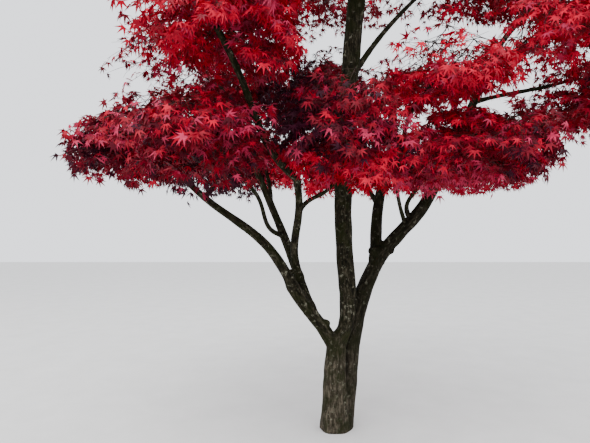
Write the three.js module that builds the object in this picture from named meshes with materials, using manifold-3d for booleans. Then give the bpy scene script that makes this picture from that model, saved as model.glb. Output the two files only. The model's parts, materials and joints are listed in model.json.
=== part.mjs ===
// Japanese maple tree rooted in the ground, autumn leaves, millimetres, +Z up.
// The trunk stands on the origin, +X runs to the right and +Y away from the viewer.
import * as THREE from "three";
import Module from "manifold-3d";

const wasm = await Module();
wasm.setup();

// Gaps between two solids, and between the spaces of two leaf masses
const GAP = 0.3;
const SPACE_GAP = 3;
const TWIG_SIDES = 3;
const BARK_COLOUR = "#4b4139";

// Trunk: two stems grown together, one row per height with x, y, z and radius
const TRUNK = {
  front: [
    [-8, -10, 0, 104],
    [-6, -12, 90, 97],
    [-4, -14, 400, 80],
    [4, -16, 585, 68],
    [66, -18, 690, 53],
    [82, -19, 775, 55],
    [88, -20, 960, 60],
  ],
  rear: [
    [52, 26, 0, 80],
    [62, 28, 90, 74],
    [96, 30, 400, 66],
    [118, 32, 585, 64],
    [150, 34, 770, 61],
    [212, 42, 960, 59],
  ],
  sides: 10,
  flareDepth: 0.12,
  flareHeight: 160,
  flareRidges: 5,
};

// Boughs and limbs, parents first. A limb with at: 1 carries its parent on, any
// other one leaves its parent's side. The tip is where it enters its leaves.
// bow moves the middle of the limb, and sway its two halves, one each way.
const LIMBS = {
  left_bough: {
    from: "front", at: 0.46, tip: [-307, -115, 1005],
    bow: [5, 0, 5], sway: [5, 0, 5], radii: [47, 45],
  },
  left_limb: {
    from: "left_bough", at: 1, tip: [-1100, -345, 1810],
    bow: [40, 5, 30], sway: [20, 0, 25], radii: [38, 18],
  },
  left_back_limb: {
    from: "left_limb", at: 0.75, tip: [-880, 120, 1900],
    bow: [30, 0, -30], radii: [20, 13],
  },
  upper_left_limb: {
    from: "left_bough", at: 0.6, tip: [-855, 330, 2500],
    bow: [25, 75, -15], sway: [10, 5, -5], radii: [40, 15],
  },
  left_front_limb: {
    from: "upper_left_limb", at: 0.33, tip: [-595, -330, 1685],
    bow: [-20, -10, -25], sway: [-20, -5, -20], radii: [18, 13],
  },
  back_left_limb: {
    from: "upper_left_limb", at: 0.48, tip: [-560, 720, 1990],
    bow: [20, 10, -20], radii: [20, 13],
  },
  high_back_left_limb: {
    from: "upper_left_limb", at: 0.72, tip: [-700, 760, 2640],
    bow: [10, 0, -30], radii: [17, 12],
  },
  front_limb: {
    from: "upper_left_limb", at: 0.14, tip: [-275, -405, 1700],
    bow: [-15, 15, 10], sway: [-20, 0, 0], radii: [31, 25],
  },
  front_small_limb: {
    from: "front_limb", at: 0.68, tip: [-30, -370, 1695],
    bow: [-5, 0, 5], sway: [-10, 0, 10], radii: [16, 11],
  },
  front_upper_limb: {
    from: "front_limb", at: 1, tip: [-680, -1060, 2375],
    bow: [-40, 15, -10], sway: [-20, 15, -10], radii: [24, 16],
  },
  centre_bough: {
    from: "front", at: 1, tip: [135, -250, 2980],
    bow: [-53, 0, -5], sway: [-7, 15, 5], radii: [62, 60],
  },
  centre_back_limb: {
    from: "centre_bough", at: 0.42, tip: [-80, 250, 2330],
    bow: [0, 20, -30], radii: [24, 14],
  },
  centre_side_limb: {
    from: "centre_bough", at: 0.72, tip: [675, 120, 3215],
    bow: [-30, 15, 20], sway: [0, -5, 0], radii: [23, 14],
  },
  leader: {
    from: "centre_bough", at: 1, tip: [210, -60, 4060],
    bow: [-20, -40, 0], sway: [20, 0, 0], radii: [56, 14],
  },
  high_left_limb: {
    from: "leader", at: 0.12, tip: [-480, -230, 3290],
    bow: [0, -20, -40], radii: [26, 13],
  },
  high_front_limb: {
    from: "leader", at: 0.2, tip: [130, -650, 3300],
    bow: [10, 0, -30], radii: [22, 13],
  },
  crown_back_limb: {
    from: "leader", at: 0.36, tip: [130, 400, 3540],
    bow: [-10, 0, -40], radii: [23, 13],
  },
  top_right_limb: {
    from: "leader", at: 0.48, tip: [600, -60, 3830],
    bow: [0, 0, -30], radii: [21, 12],
  },
  top_left_limb: {
    from: "leader", at: 0.58, tip: [-220, -90, 3900],
    bow: [0, 0, -25], radii: [19, 12],
  },
  right_limb: {
    from: "rear", at: 1, tip: [810, 100, 1880],
    bow: [5, 10, -15], sway: [-30, 5, 20], radii: [56, 42],
  },
  upright_limb: {
    from: "right_limb", at: 0.2, tip: [505, 520, 2695],
    bow: [35, 15, -15], sway: [-45, -5, -5], radii: [47, 28],
  },
  back_limb: {
    from: "upright_limb", at: 0.3, tip: [320, 860, 2000],
    bow: [0, 0, -40], radii: [24, 14],
  },
  back_upper_limb: {
    from: "upright_limb", at: 0.66, tip: [250, 900, 2700],
    bow: [0, 0, -40], radii: [19, 12],
  },
  right_small_limb: {
    from: "right_limb", at: 0.53, tip: [470, -430, 2170],
    bow: [-95, -20, -10], radii: [14, 11],
  },
  right_inner_limb: {
    from: "right_limb", at: 0.58, tip: [630, -60, 1765],
    bow: [-45, 20, 15], sway: [-20, -5, 0], radii: [16, 13],
  },
  right_back_limb: {
    from: "right_limb", at: 0.8, tip: [900, 560, 2010],
    bow: [10, 0, -30], radii: [22, 14],
  },
  right_upper_limb: {
    from: "right_limb", at: 1, tip: [1610, 100, 3145],
    bow: [-65, 0, 50], sway: [30, 0, -20], radii: [40, 15],
  },
  right_lower_limb: {
    from: "right_upper_limb", at: 0.07, tip: [1080, -40, 1960],
    bow: [0, 0, -15], radii: [18, 13],
  },
  right_low_limb: {
    from: "right_upper_limb", at: 0.36, tip: [1685, -60, 2470],
    bow: [0, 0, 0], sway: [0, 0, 5], radii: [17, 12],
  },
  right_high_limb: {
    from: "right_upper_limb", at: 0.44, tip: [1200, -230, 2600],
    bow: [0, 0, -15], radii: [16, 12],
  },
  right_outer_limb: {
    from: "right_upper_limb", at: 0.6, tip: [1765, -110, 2950],
    bow: [10, -10, -30], radii: [18, 12],
  },
};
const THICK_RADIUS = 30;
const LIMB_SIDES = { thick: 8, thin: 5 };
const LIMB_STEP = { thick: 260, thin: 200 };
const STEP_RANGE = [3, 7];

// Leaf masses: the limb each grows on, the middle and half sizes of its own
// space, the seed of its random numbers and its colour
const MASSES = {
  left_low_leaves: {
    limb: "left_limb", centre: [-1340, -310, 1990], size: [520, 600, 340],
    leaves: 10, seed: 34, colour: "#8e1230",
  },
  left_front_leaves: {
    limb: "left_front_limb", centre: [-830, -680, 1965], size: [560, 580, 415],
    seed: 31, colour: "#a3132c",
  },
  left_back_leaves: {
    limb: "left_back_limb", centre: [-1130, 400, 2110], size: [640, 600, 400],
    seed: 32, colour: "#7d1029",
  },
  back_left_leaves: {
    limb: "back_left_limb", centre: [-660, 1020, 2120], size: [640, 600, 400],
    seed: 4, colour: "#8e1230",
  },
  front_leaves: {
    limb: "front_small_limb", centre: [30, -680, 1980], size: [540, 540, 430],
    seed: 34, colour: "#8b1430",
  },
  right_front_leaves: {
    limb: "right_inner_limb", centre: [800, -520, 1930], size: [600, 560, 370],
    seed: 6, colour: "#9a1128",
  },
  right_low_leaves: {
    limb: "right_lower_limb", centre: [1150, 80, 2060], size: [520, 600, 400],
    seed: 32, colour: "#8e1230",
  },
  right_back_leaves: {
    limb: "right_back_limb", centre: [1020, 880, 2120], size: [640, 620, 400],
    seed: 32, colour: "#8e1230",
  },
  back_low_leaves: {
    limb: "back_limb", centre: [180, 1180, 2140], size: [640, 620, 400],
    seed: 32, colour: "#7d1029",
  },
  right_far_leaves: {
    limb: "right_low_limb", centre: [1880, -60, 2440], size: [540, 620, 400],
    seed: 32, colour: "#b0152b",
  },
  front_high_leaves: {
    limb: "front_upper_limb", centre: [-640, -940, 2440], size: [560, 520, 370],
    seed: 11, colour: "#c4182c",
  },
  right_middle_leaves: {
    limb: "right_small_limb", centre: [620, -640, 2320], size: [500, 520, 310],
    seed: 12, colour: "#c4182c",
  },
  right_high_leaves: {
    limb: "right_high_limb", centre: [1330, -460, 2680], size: [580, 580, 380],
    seed: 33, colour: "#c4182c",
  },
  centre_back_leaves: {
    limb: "centre_back_limb", centre: [-150, 460, 2500], size: [600, 600, 420],
    leaves: 10, seed: 33, colour: "#5d1128",
  },
  left_high_leaves: {
    limb: "upper_left_limb", centre: [-1230, 160, 2740], size: [620, 640, 400],
    leaves: 8, seed: 33, colour: "#a3132c",
  },
  high_back_left_leaves: {
    limb: "high_back_left_limb", centre: [-820, 980, 2820], size: [640, 600, 420],
    leaves: 10, seed: 16, colour: "#9a1128",
  },
  high_back_leaves: {
    limb: "back_upper_limb", centre: [90, 1230, 2860], size: [620, 580, 400],
    leaves: 10, seed: 33, colour: "#8e1230",
  },
  high_back_right_leaves: {
    limb: "upright_limb", centre: [900, 900, 2920], size: [640, 620, 420],
    seed: 32, colour: "#8b1430",
  },
  right_outer_leaves: {
    limb: "right_outer_limb", centre: [1900, -120, 3000], size: [540, 640, 380],
    leaves: 10, seed: 32, colour: "#b0152b",
  },
  centre_side_leaves: {
    limb: "centre_side_limb", centre: [790, 130, 3400], size: [600, 600, 400],
    leaves: 10, seed: 33, colour: "#a3132c",
  },
  right_top_leaves: {
    limb: "right_upper_limb", centre: [1480, 300, 3520], size: [560, 600, 420],
    seed: 33, colour: "#b0152b",
  },
  high_left_leaves: {
    limb: "high_left_limb", centre: [-780, -240, 3320], size: [640, 640, 420],
    leaves: 10, seed: 32, colour: "#b0152b",
  },
  high_front_leaves: {
    limb: "high_front_limb", centre: [110, -800, 3280], size: [620, 580, 400],
    seed: 23, colour: "#b0152b",
  },
  crown_back_leaves: {
    limb: "crown_back_limb", centre: [60, 700, 3560], size: [640, 620, 420],
    leaves: 10, seed: 34, colour: "#a3132c",
  },
  top_left_leaves: {
    limb: "top_left_limb", centre: [-460, 0, 3970], size: [580, 600, 380],
    leaves: 10, seed: 32, colour: "#b0152b",
  },
  top_leaves: {
    limb: "leader", centre: [230, 0, 4250], size: [560, 560, 330],
    seed: 33, colour: "#c4182c",
  },
  top_right_leaves: {
    limb: "top_right_limb", centre: [880, -90, 4000], size: [560, 580, 370],
    leaves: 10, seed: 27, colour: "#b0152b",
  },
};

// Growth of a mass: how many leaves it carries and how its twigs find them
const GROWTH = {
  leaves: 11,
  wishes: 120,
  stem: 60,
  heart: 0.6,
  innerReach: 0.75,
  heightReach: 0.66,
  droop: 0.3,
  turnStep: 0.381966,
  spreadStep: 0.754878,
  heightStep: 0.569840,
  pathCost: 0.4,
  joints: [0.2, 0.4, 0.6, 0.8],
  stemJoints: [0.1, 0.4, 0.7, 0.95],
  forward: 0,
  heartRadius: 9,
  stalkRadius: 2.8,
  rootShare: 0.48,
  twigClear: 12,
  leafClear: 15,
};

// Leaf: each one stands for a spray, with the lobes and notches of a maple leaf
const LEAF = {
  length: 400,
  thickness: 12,
  tries: [[1, 1], [1, 0.8], [0.85, 1], [0.85, 0.8], [0.7, 1], [0.7, 0.75]],
  lobes: [[0, 1], [41, 0.9], [86, 0.62]],
  notches: [[21, 0.46], [63, 0.38]],
  middle: 0.34,
  balance: 0.4,
  cup: 0.14,
  pitch: [-52, -8],
  turn: 40,
  roll: 28,
};

const radians = (degrees) => (degrees * Math.PI) / 180;
const plus = (a, b, k = 1) => [a[0] + b[0] * k, a[1] + b[1] * k, a[2] + b[2] * k];
const minus = (a, b) => plus(a, b, -1);
const times = (a, k) => [a[0] * k, a[1] * k, a[2] * k];
const dot = (a, b) => a[0] * b[0] + a[1] * b[1] + a[2] * b[2];
const length = (a) => Math.sqrt(dot(a, a));
const unit = (a) => times(a, 1 / length(a));
const mix = (a, b, t) => plus(times(a, 1 - t), b, t);
const cross = (a, b) => [
  a[1] * b[2] - a[2] * b[1],
  a[2] * b[0] - a[0] * b[2],
  a[0] * b[1] - a[1] * b[0],
];

// Even random numbers from 0 to 1, the same run for the same seed
function randomNumbers(seed) {
  let state = seed >>> 0;
  return () => {
    state = (state + 0x6d2b79f5) >>> 0;
    let t = Math.imul(state ^ (state >>> 15), state | 1);
    t = (t + Math.imul(t ^ (t >>> 7), t | 61)) ^ t;
    return ((t ^ (t >>> 14)) >>> 0) / 4294967296;
  };
}

// A closed solid from rings of points, each ring with the same number of points
function solidFromRings(rings) {
  const sides = rings[0].length;
  const points = rings.flat();
  const faces = [];
  for (let i = 0; i + 1 < rings.length; i++) {
    for (let j = 0; j < sides; j++) {
      const a = i * sides + j;
      const b = i * sides + ((j + 1) % sides);
      faces.push([a, b, b + sides], [a, b + sides, a + sides]);
    }
  }
  const last = (rings.length - 1) * sides;
  for (let j = 1; j + 1 < sides; j++) {
    faces.push([0, j + 1, j], [last, last + j, last + j + 1]);
  }
  return solidFromFaces(points, faces);
}

function solidFromFaces(points, faces) {
  const mesh = new wasm.Mesh({
    numProp: 3,
    vertProperties: new Float32Array(points.flat()),
    triVerts: new Uint32Array(faces.flat()),
  });
  return new wasm.Manifold(mesh);
}

// The start and end direction of each limb are kept, so that the next one
// begins with a face parallel to its end
function tangents(path, first) {
  return path.map((point, i) => {
    if (i === 0 && first) return first;
    const before = path[Math.max(i - 1, 0)];
    const after = path[Math.min(i + 1, path.length - 1)];
    return unit(minus(after, before));
  });
}

function sideways(direction, previous) {
  const across = minus(previous, times(direction, dot(previous, direction)));
  return unit(across);
}

function ring(centre, direction, across, radii) {
  const other = cross(direction, across);
  return radii.map((radius, j) => {
    const turn = (2 * Math.PI * j) / radii.length;
    const reach = plus(times(across, Math.cos(turn)), other, Math.sin(turn));
    return plus(centre, reach, radius);
  });
}

function tubeRings(path, directions, radii, sides, across, extra = 0) {
  const wide = extra / Math.cos(Math.PI / sides);
  const last = path.length - 1;
  let side = sideways(directions[0], across);
  return path.map((point, i) => {
    const beyond = i === 0 ? -extra : i === last ? extra : 0;
    const centre = plus(point, directions[i], beyond);
    side = sideways(directions[i], side);
    return ring(centre, directions[i], side, Array(sides).fill(radii[i] + wide));
  });
}

// The foot of a stem spreads into low ridges toward its roots
function stemRings(rows, extra = 0) {
  const wide = extra / Math.cos(Math.PI / TRUNK.sides);
  const path = rows.map((row) => row.slice(0, 3));
  const directions = tangents(path, [0, 0, 1]);
  return rows.map((row, i) => {
    const flare = TRUNK.flareDepth * Math.max(0, 1 - row[2] / TRUNK.flareHeight);
    const radii = [];
    for (let j = 0; j < TRUNK.sides; j++) {
      const turn = (2 * Math.PI * j) / TRUNK.sides;
      radii.push(row[3] * (1 + flare * Math.cos(TRUNK.flareRidges * turn)) + wide);
    }
    return ring(path[i], directions[i], sideways(directions[i], [1, 0, 0]), radii);
  });
}

function limbPath(limb, start, steps) {
  const path = [];
  for (let i = 0; i <= steps; i++) {
    const t = i / steps;
    const straight = mix(start, limb.tip, t);
    const bowed = plus(straight, limb.bow, 4 * t * (1 - t));
    path.push(limb.sway ? plus(bowed, limb.sway, Math.sin(2 * Math.PI * t)) : bowed);
  }
  return path;
}

function pointAlong(path, t) {
  const place = t * (path.length - 1);
  const i = Math.min(Math.floor(place), path.length - 2);
  return mix(path[i], path[i + 1], place - i);
}

// The largest piece by volume: drops loose scraps and fills sealed hollows
function largestPiece(solid) {
  return solid.decompose().reduce((a, b) => (b.volume() > a.volume() ? b : a));
}

function overlaps(a, b) {
  return [0, 1, 2].every((k) => a.min[k] <= b.max[k] && b.min[k] <= a.max[k]);
}

// Wood: every limb with its path, radii, solid and a slightly larger copy
// that later limbs are cut by
function growWood() {
  const wood = {};
  for (const name of ["front", "rear"]) {
    const rows = TRUNK[name];
    const path = rows.map((row) => row.slice(0, 3));
    wood[name] = {
      path,
      radii: rows.map((row) => row[3]),
      directions: tangents(path, [0, 0, 1]),
      across: [1, 0, 0],
      solid: solidFromRings(stemRings(rows)),
      wide: solidFromRings(stemRings(rows, GAP)),
    };
  }
  wood.front.trunk = true;
  wood.rear.trunk = true;
  for (const [name, limb] of Object.entries(LIMBS)) {
    const parent = wood[limb.from];
    const carriesOn = limb.at === 1;
    const end = parent.path.length - 1;
    const direction = parent.directions[end];
    const start = carriesOn
      ? plus(parent.path[end], direction, GAP)
      : pointAlong(parent.path, limb.at);
    const size = limb.radii[0] > THICK_RADIUS ? "thick" : "thin";
    const reach = length(minus(limb.tip, start));
    const wanted = Math.round(reach / LIMB_STEP[size]);
    const steps = Math.max(STEP_RANGE[0], Math.min(STEP_RANGE[1], wanted));
    const path = limbPath(limb, start, steps);
    const directions = tangents(path, carriesOn ? direction : null);
    const radii = path.map((point, i) => {
      return limb.radii[0] + ((limb.radii[1] - limb.radii[0]) * i) / steps;
    });
    if (carriesOn) radii[0] = parent.radii[end];
    const sides = carriesOn && parent.trunk ? TRUNK.sides : LIMB_SIDES[size];
    const across = carriesOn ? parent.across : [0.3, 0.9, 0.1];
    let solid = solidFromRings(tubeRings(path, directions, radii, sides, across));
    for (const [other, grown] of Object.entries(wood)) {
      if (carriesOn && other === limb.from) continue;
      if (!overlaps(solid.boundingBox(), grown.wide.boundingBox())) continue;
      solid = solid.subtract(grown.wide);
    }
    solid = largestPiece(solid);
    wood[name] = {
      path,
      radii,
      directions,
      across: sideways(directions[steps], across),
      solid,
      wide: solidFromRings(tubeRings(path, directions, radii, sides, across, GAP)),
    };
  }
  return wood;
}

// Straight pieces of wood with their radii, for keeping leaves clear of them
function woodPieces(wood) {
  const pieces = [];
  for (const [name, grown] of Object.entries(wood)) {
    for (let i = 0; i + 1 < grown.path.length; i++) {
      const radius = Math.max(grown.radii[i], grown.radii[i + 1]);
      pieces.push({ name, a: grown.path[i], b: grown.path[i + 1], radius });
    }
  }
  return pieces;
}

function distanceToPiece(point, piece) {
  const along = minus(piece.b, piece.a);
  const t = dot(minus(point, piece.a), along) / dot(along, along);
  return length(minus(point, plus(piece.a, along, Math.max(0, Math.min(1, t)))));
}

function clearOfWood(points, pieces, clear) {
  return points.every((point) => {
    return pieces.every((piece) => distanceToPiece(point, piece) > piece.radius + clear);
  });
}

// A mass keeps inside its own egg-shaped space and on its side of the plane
// halfway to each neighbour
function spaceOf(name) {
  const { centre, size } = MASSES[name];
  const planes = [];
  for (const [other, mass] of Object.entries(MASSES)) {
    if (other === name) continue;
    const toward = minus(mass.centre, centre);
    const own = dot(size, [1, 1, 1]);
    const share = own / (own + dot(mass.size, [1, 1, 1]));
    const normal = unit(toward);
    planes.push([normal, dot(normal, plus(centre, toward, share)) - SPACE_GAP]);
  }
  return { centre, size, planes };
}

function inSpace(point, space) {
  const away = minus(point, space.centre);
  const scaled = away.map((value, k) => value / space.size[k]);
  if (dot(scaled, scaled) > 1) return false;
  return space.planes.every(([normal, limit]) => dot(normal, point) < limit);
}

// A leaf frame from the way it points in plan, its pitch and its roll
function leafFrame(turn, pitch, roll) {
  const ahead = [
    Math.cos(turn) * Math.cos(pitch),
    Math.sin(turn) * Math.cos(pitch),
    Math.sin(pitch),
  ];
  const level = [-Math.sin(turn), Math.cos(turn), 0];
  const over = cross(ahead, level);
  const side = plus(times(level, Math.cos(roll)), over, Math.sin(roll));
  return { ahead, side, up: cross(ahead, side) };
}

function leafPoint(leaf, degrees, reach) {
  const turn = radians(degrees);
  const { ahead, side, up } = leaf.frame;
  const far = reach * leaf.length;
  const drop = -LEAF.cup * reach * reach * leaf.length;
  const flat = plus(times(ahead, Math.cos(turn) * far), side, Math.sin(turn) * far);
  return plus(plus(leaf.base, flat), up, drop);
}

// The outline from the lobe on one side of the stalk, round the tip, to the other
function leafOutline(leaf) {
  const half = [];
  LEAF.lobes.forEach((lobe, i) => {
    half.push(lobe);
    if (LEAF.notches[i]) half.push(LEAF.notches[i]);
  });
  const near = half.map(([degrees, reach]) => leafPoint(leaf, degrees, reach));
  const far = half.slice(1).map(([degrees, reach]) => leafPoint(leaf, -degrees, reach));
  return [...near.reverse(), ...far];
}

// Points spread over a leaf, close enough together that no limb slips between
function leafSamples(leaf) {
  const outline = [leaf.base, ...leafOutline(leaf)];
  const middle = leafPoint(leaf, 0, LEAF.middle);
  const rows = Math.ceil(leaf.length / 50);
  const samples = [middle];
  outline.forEach((point, i) => {
    const next = outline[(i + 1) % outline.length];
    for (let row = 1; row <= rows; row++) {
      for (let column = 0; column < row; column++) {
        const edge = mix(point, next, column / row);
        samples.push(mix(middle, edge, row / rows));
      }
    }
  });
  return samples;
}

// The two-sided triangles that a leaf is made of, along its middle surface
function leafTriangles(leaf) {
  const outline = [leaf.base, ...leafOutline(leaf)];
  const middle = leafPoint(leaf, 0, LEAF.middle);
  return outline.map((point, i) => [middle, point, outline[(i + 1) % outline.length]]);
}

function crossesTriangle(a, b, triangle) {
  const way = minus(b, a);
  const first = minus(triangle[1], triangle[0]);
  const second = minus(triangle[2], triangle[0]);
  const normal = cross(way, second);
  const scale = dot(first, normal);
  if (Math.abs(scale) < 1e-9) return false;
  const start = minus(a, triangle[0]);
  const u = dot(start, normal) / scale;
  if (u < 0 || u > 1) return false;
  const other = cross(start, first);
  const v = dot(way, other) / scale;
  if (v < 0 || u + v > 1) return false;
  const t = dot(second, other) / scale;
  return t >= 0 && t <= 1;
}

function leavesCross(one, two) {
  const reach = (one.length + two.length) * 1.1;
  if (length(minus(one.base, two.base)) > reach) return false;
  const edgesCross = (edges, faces) => edges.some(([middle, a, b]) => {
    return faces.some((face) => crossesTriangle(middle, a, face) || crossesTriangle(a, b, face));
  });
  const own = leafTriangles(one);
  const others = leafTriangles(two);
  return edgesCross(own, others) || edgesCross(others, own);
}

function twigCrosses(a, b, leaf) {
  return leafTriangles(leaf).some((face) => crossesTriangle(a, b, face));
}

function segmentSamples(a, b) {
  const count = Math.ceil(length(minus(b, a)) / 12) + 1;
  const samples = [];
  for (let i = 0; i <= count; i++) {
    samples.push(mix(a, b, i / count));
  }
  return samples;
}

// Where the leaves of a mass would like to be, spread evenly through its space
function leafWishes(space, entry, random) {
  const wishes = [];
  const start = [random(), random(), random()];
  const part = (k, step, i) => (start[k] + i * step) % 1;
  for (let i = 0; i < GROWTH.wishes; i++) {
    const spread = Math.sqrt(part(0, GROWTH.spreadStep, i));
    const turn = 2 * Math.PI * part(1, GROWTH.turnStep, i);
    const level = 2 * part(2, GROWTH.heightStep, i) - 1;
    const height = level * GROWTH.heightReach * Math.sqrt(1 - 0.6 * spread * spread);
    const reach = spread * GROWTH.innerReach;
    const place = plus(space.centre, [
      space.size[0] * reach * Math.cos(turn),
      space.size[1] * reach * Math.sin(turn),
      space.size[2] * (height - GROWTH.droop * spread * spread),
    ]);
    const out = minus(place, mix(entry, space.centre, 0.5));
    const aside = radians(LEAF.turn) * (random() * 2 - 1);
    const pitch = LEAF.pitch[0] + (LEAF.pitch[1] - LEAF.pitch[0]) * random();
    const roll = radians(LEAF.roll) * (random() * 2 - 1);
    const frame = leafFrame(Math.atan2(out[1], out[0]) + aside, radians(pitch), roll);
    wishes.push({ place, frame });
  }
  return wishes;
}

function twigFits(a, b, leaves, space, near) {
  if (leaves.some((leaf) => twigCrosses(a, b, leaf))) return false;
  const samples = segmentSamples(a, b);
  return samples.every((point) => inSpace(point, space))
    && clearOfWood(samples, near, GROWTH.twigClear);
}

// The free joint on the twigs so far that gives a leaf its shortest way to the root
function bestJoint(leaf, twigs, leaves, space, near) {
  const joints = [];
  for (const twig of twigs) {
    for (const t of twig.joints) {
      const place = mix(twig.a, twig.b, t);
      const step = minus(leaf.base, place);
      const way = twig.way + t * length(minus(twig.b, twig.a));
      if (dot(unit(step), leaf.frame.ahead) < GROWTH.forward) continue;
      const radius = twig.radii[0] + (twig.radii[1] - twig.radii[0]) * t;
      joints.push({ twig, t, place, way, radius, cost: length(step) + GROWTH.pathCost * way });
    }
  }
  joints.sort((a, b) => a.cost - b.cost);
  return joints.find((joint) => twigFits(joint.place, leaf.base, leaves, space, near));
}

// The first size and place at which a wished leaf fits and can be joined
function joinLeaf(wish, twigs, leaves, space, near) {
  for (const [shrink, slide] of LEAF.tries) {
    const size = LEAF.length * shrink;
    const place = mix(space.centre, wish.place, slide);
    const base = plus(place, wish.frame.ahead, -LEAF.balance * size);
    const leaf = { base, frame: wish.frame, length: size };
    if (![base, ...leafOutline(leaf)].every((point) => inSpace(point, space))) continue;
    if (leaves.some((other) => leavesCross(leaf, other))) continue;
    if (twigs.some((twig) => twigCrosses(twig.a, twig.b, leaf))) continue;
    if (!clearOfWood(leafSamples(leaf), near, GROWTH.leafClear)) continue;
    const joint = bestJoint(leaf, twigs, leaves, space, near);
    if (joint) return { leaf, joint };
  }
  return null;
}

// The twigs and leaves of one mass: a stem from the limb's tip into the heart of
// the space, then leaf after leaf, each on a twig of its own
function growMass(name, wood, pieces) {
  const space = spaceOf(name);
  const random = randomNumbers(MASSES[name].seed);
  const limb = wood[MASSES[name].limb];
  const end = limb.path.length - 1;
  const direction = limb.directions[end];
  const root = plus(limb.path[end], direction, GAP);
  const entry = plus(root, direction, GROWTH.stem);
  const heart = mix(entry, space.centre, GROWTH.heart);
  const near = pieces.filter((piece) => {
    return distanceToPiece(space.centre, piece) < length(space.size) + piece.radius;
  });
  const { heartRadius, stalkRadius } = GROWTH;
  const rootRadius = limb.radii[end];
  const entryRadius = (rootRadius + heartRadius) / 2;
  const twigs = [
    { a: root, b: entry, way: 0, radii: [rootRadius, entryRadius], joints: [] },
    { a: entry, b: heart, way: 0, radii: [entryRadius, heartRadius], joints: GROWTH.stemJoints },
  ];
  const leaves = [];
  for (const wish of leafWishes(space, entry, random)) {
    const found = joinLeaf(wish, twigs, leaves, space, near);
    if (!found) continue;
    const { leaf, joint } = found;
    joint.twig.joints = joint.twig.joints.filter((t) => t !== joint.t);
    const radii = [joint.radius * GROWTH.rootShare, stalkRadius];
    const { place, way } = joint;
    twigs.push({ a: place, b: leaf.base, way, radii, joints: GROWTH.joints, leaf });
    leaves.push(leaf);
    if (leaves.length === (MASSES[name].leaves ?? GROWTH.leaves)) break;
  }
  return twigs;
}

// A twig of three sides that opens into its leaf, as one closed solid
function leafySolid(twig) {
  const { leaf, radii } = twig;
  const { ahead, side } = leaf.frame;
  const along = unit(minus(twig.b, twig.a));
  const corners = (centre, direction, radius) => {
    const across = sideways(direction, side);
    const under = cross(across, direction);
    return [plus(centre, across, -radius), plus(centre, across, radius), plus(centre, under, radius)];
  };
  const outline = leafOutline(leaf);
  const middle = leafPoint(leaf, 0, LEAF.middle);
  const half = (leaf.length / LEAF.length) * LEAF.thickness * 0.5;
  const points = [
    ...corners(twig.a, along, radii[0]),
    ...corners(twig.b, unit(plus(along, ahead)), radii[1]),
    plus(middle, leaf.frame.up, half),
    plus(middle, leaf.frame.up, -half),
    ...outline,
  ];
  const [left, right, bottom, top, under, first] = [3, 4, 5, 6, 7, 8];
  const faces = [[0, 1, 2]];
  for (let i = 0; i < 3; i++) {
    const next = (i + 1) % 3;
    faces.push([i, i + 3, next + 3], [i, next + 3, next]);
  }
  const edge = [right, ...outline.map((point, i) => first + i), left];
  for (let i = 0; i + 1 < edge.length; i++) {
    faces.push([edge[i + 1], edge[i], top], [edge[i], edge[i + 1], under]);
  }
  faces.push([right, left, top], [left, bottom, under], [bottom, right, under]);
  return solidFromFaces(points, faces);
}

function massSolid(name, wood, pieces) {
  const twigs = growMass(name, wood, pieces);
  const limb = wood[MASSES[name].limb];
  const [low, high] = twigs;
  const path = [low.a, low.b, high.b];
  const directions = tangents(path, limb.directions[limb.path.length - 1]);
  const radii = [...low.radii, high.radii[1]];
  const stem = solidFromRings(tubeRings(path, directions, radii, TWIG_SIDES, limb.across));
  return twigs.slice(2).map(leafySolid).reduce((a, b) => a.add(b), stem);
}

function meshFromSolid(name, solid, colour, roughness) {
  const data = solid.getMesh();
  const geometry = new THREE.BufferGeometry();
  geometry.setAttribute("position", new THREE.BufferAttribute(data.vertProperties, 3));
  geometry.setIndex(new THREE.BufferAttribute(data.triVerts, 1));
  geometry.computeVertexNormals();
  const material = new THREE.MeshStandardMaterial({ color: colour, roughness, metalness: 0 });
  const mesh = new THREE.Mesh(geometry, material);
  mesh.name = name;
  return mesh;
}

const tree = new THREE.Group();
tree.name = "japanese_maple_tree";
const wood = growWood();
const pieces = woodPieces(wood);
const trunk = wood.front.solid.add(wood.rear.solid);
tree.add(meshFromSolid("trunk", largestPiece(trunk), BARK_COLOUR, 0.9));
for (const name of Object.keys(LIMBS)) {
  tree.add(meshFromSolid(name, wood[name].solid, BARK_COLOUR, 0.9));
}
for (const [name, mass] of Object.entries(MASSES)) {
  const solid = largestPiece(massSolid(name, wood, pieces));
  tree.add(meshFromSolid(name, solid, mass.colour, 0.6));
}

export default tree;
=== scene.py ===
"""Japanese maple tree in autumn leaf: bark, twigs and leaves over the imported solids.

The limbs and masses follow the rule of the part's source, in millimetres, and each
large leaf of the source becomes a spray of fine twigs with single leaves.
"""

import json
import math
import random
from collections import defaultdict, namedtuple

import bmesh
import bpy
import numpy as np
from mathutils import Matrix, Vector, noise
from numpy.linalg import norm

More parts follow.
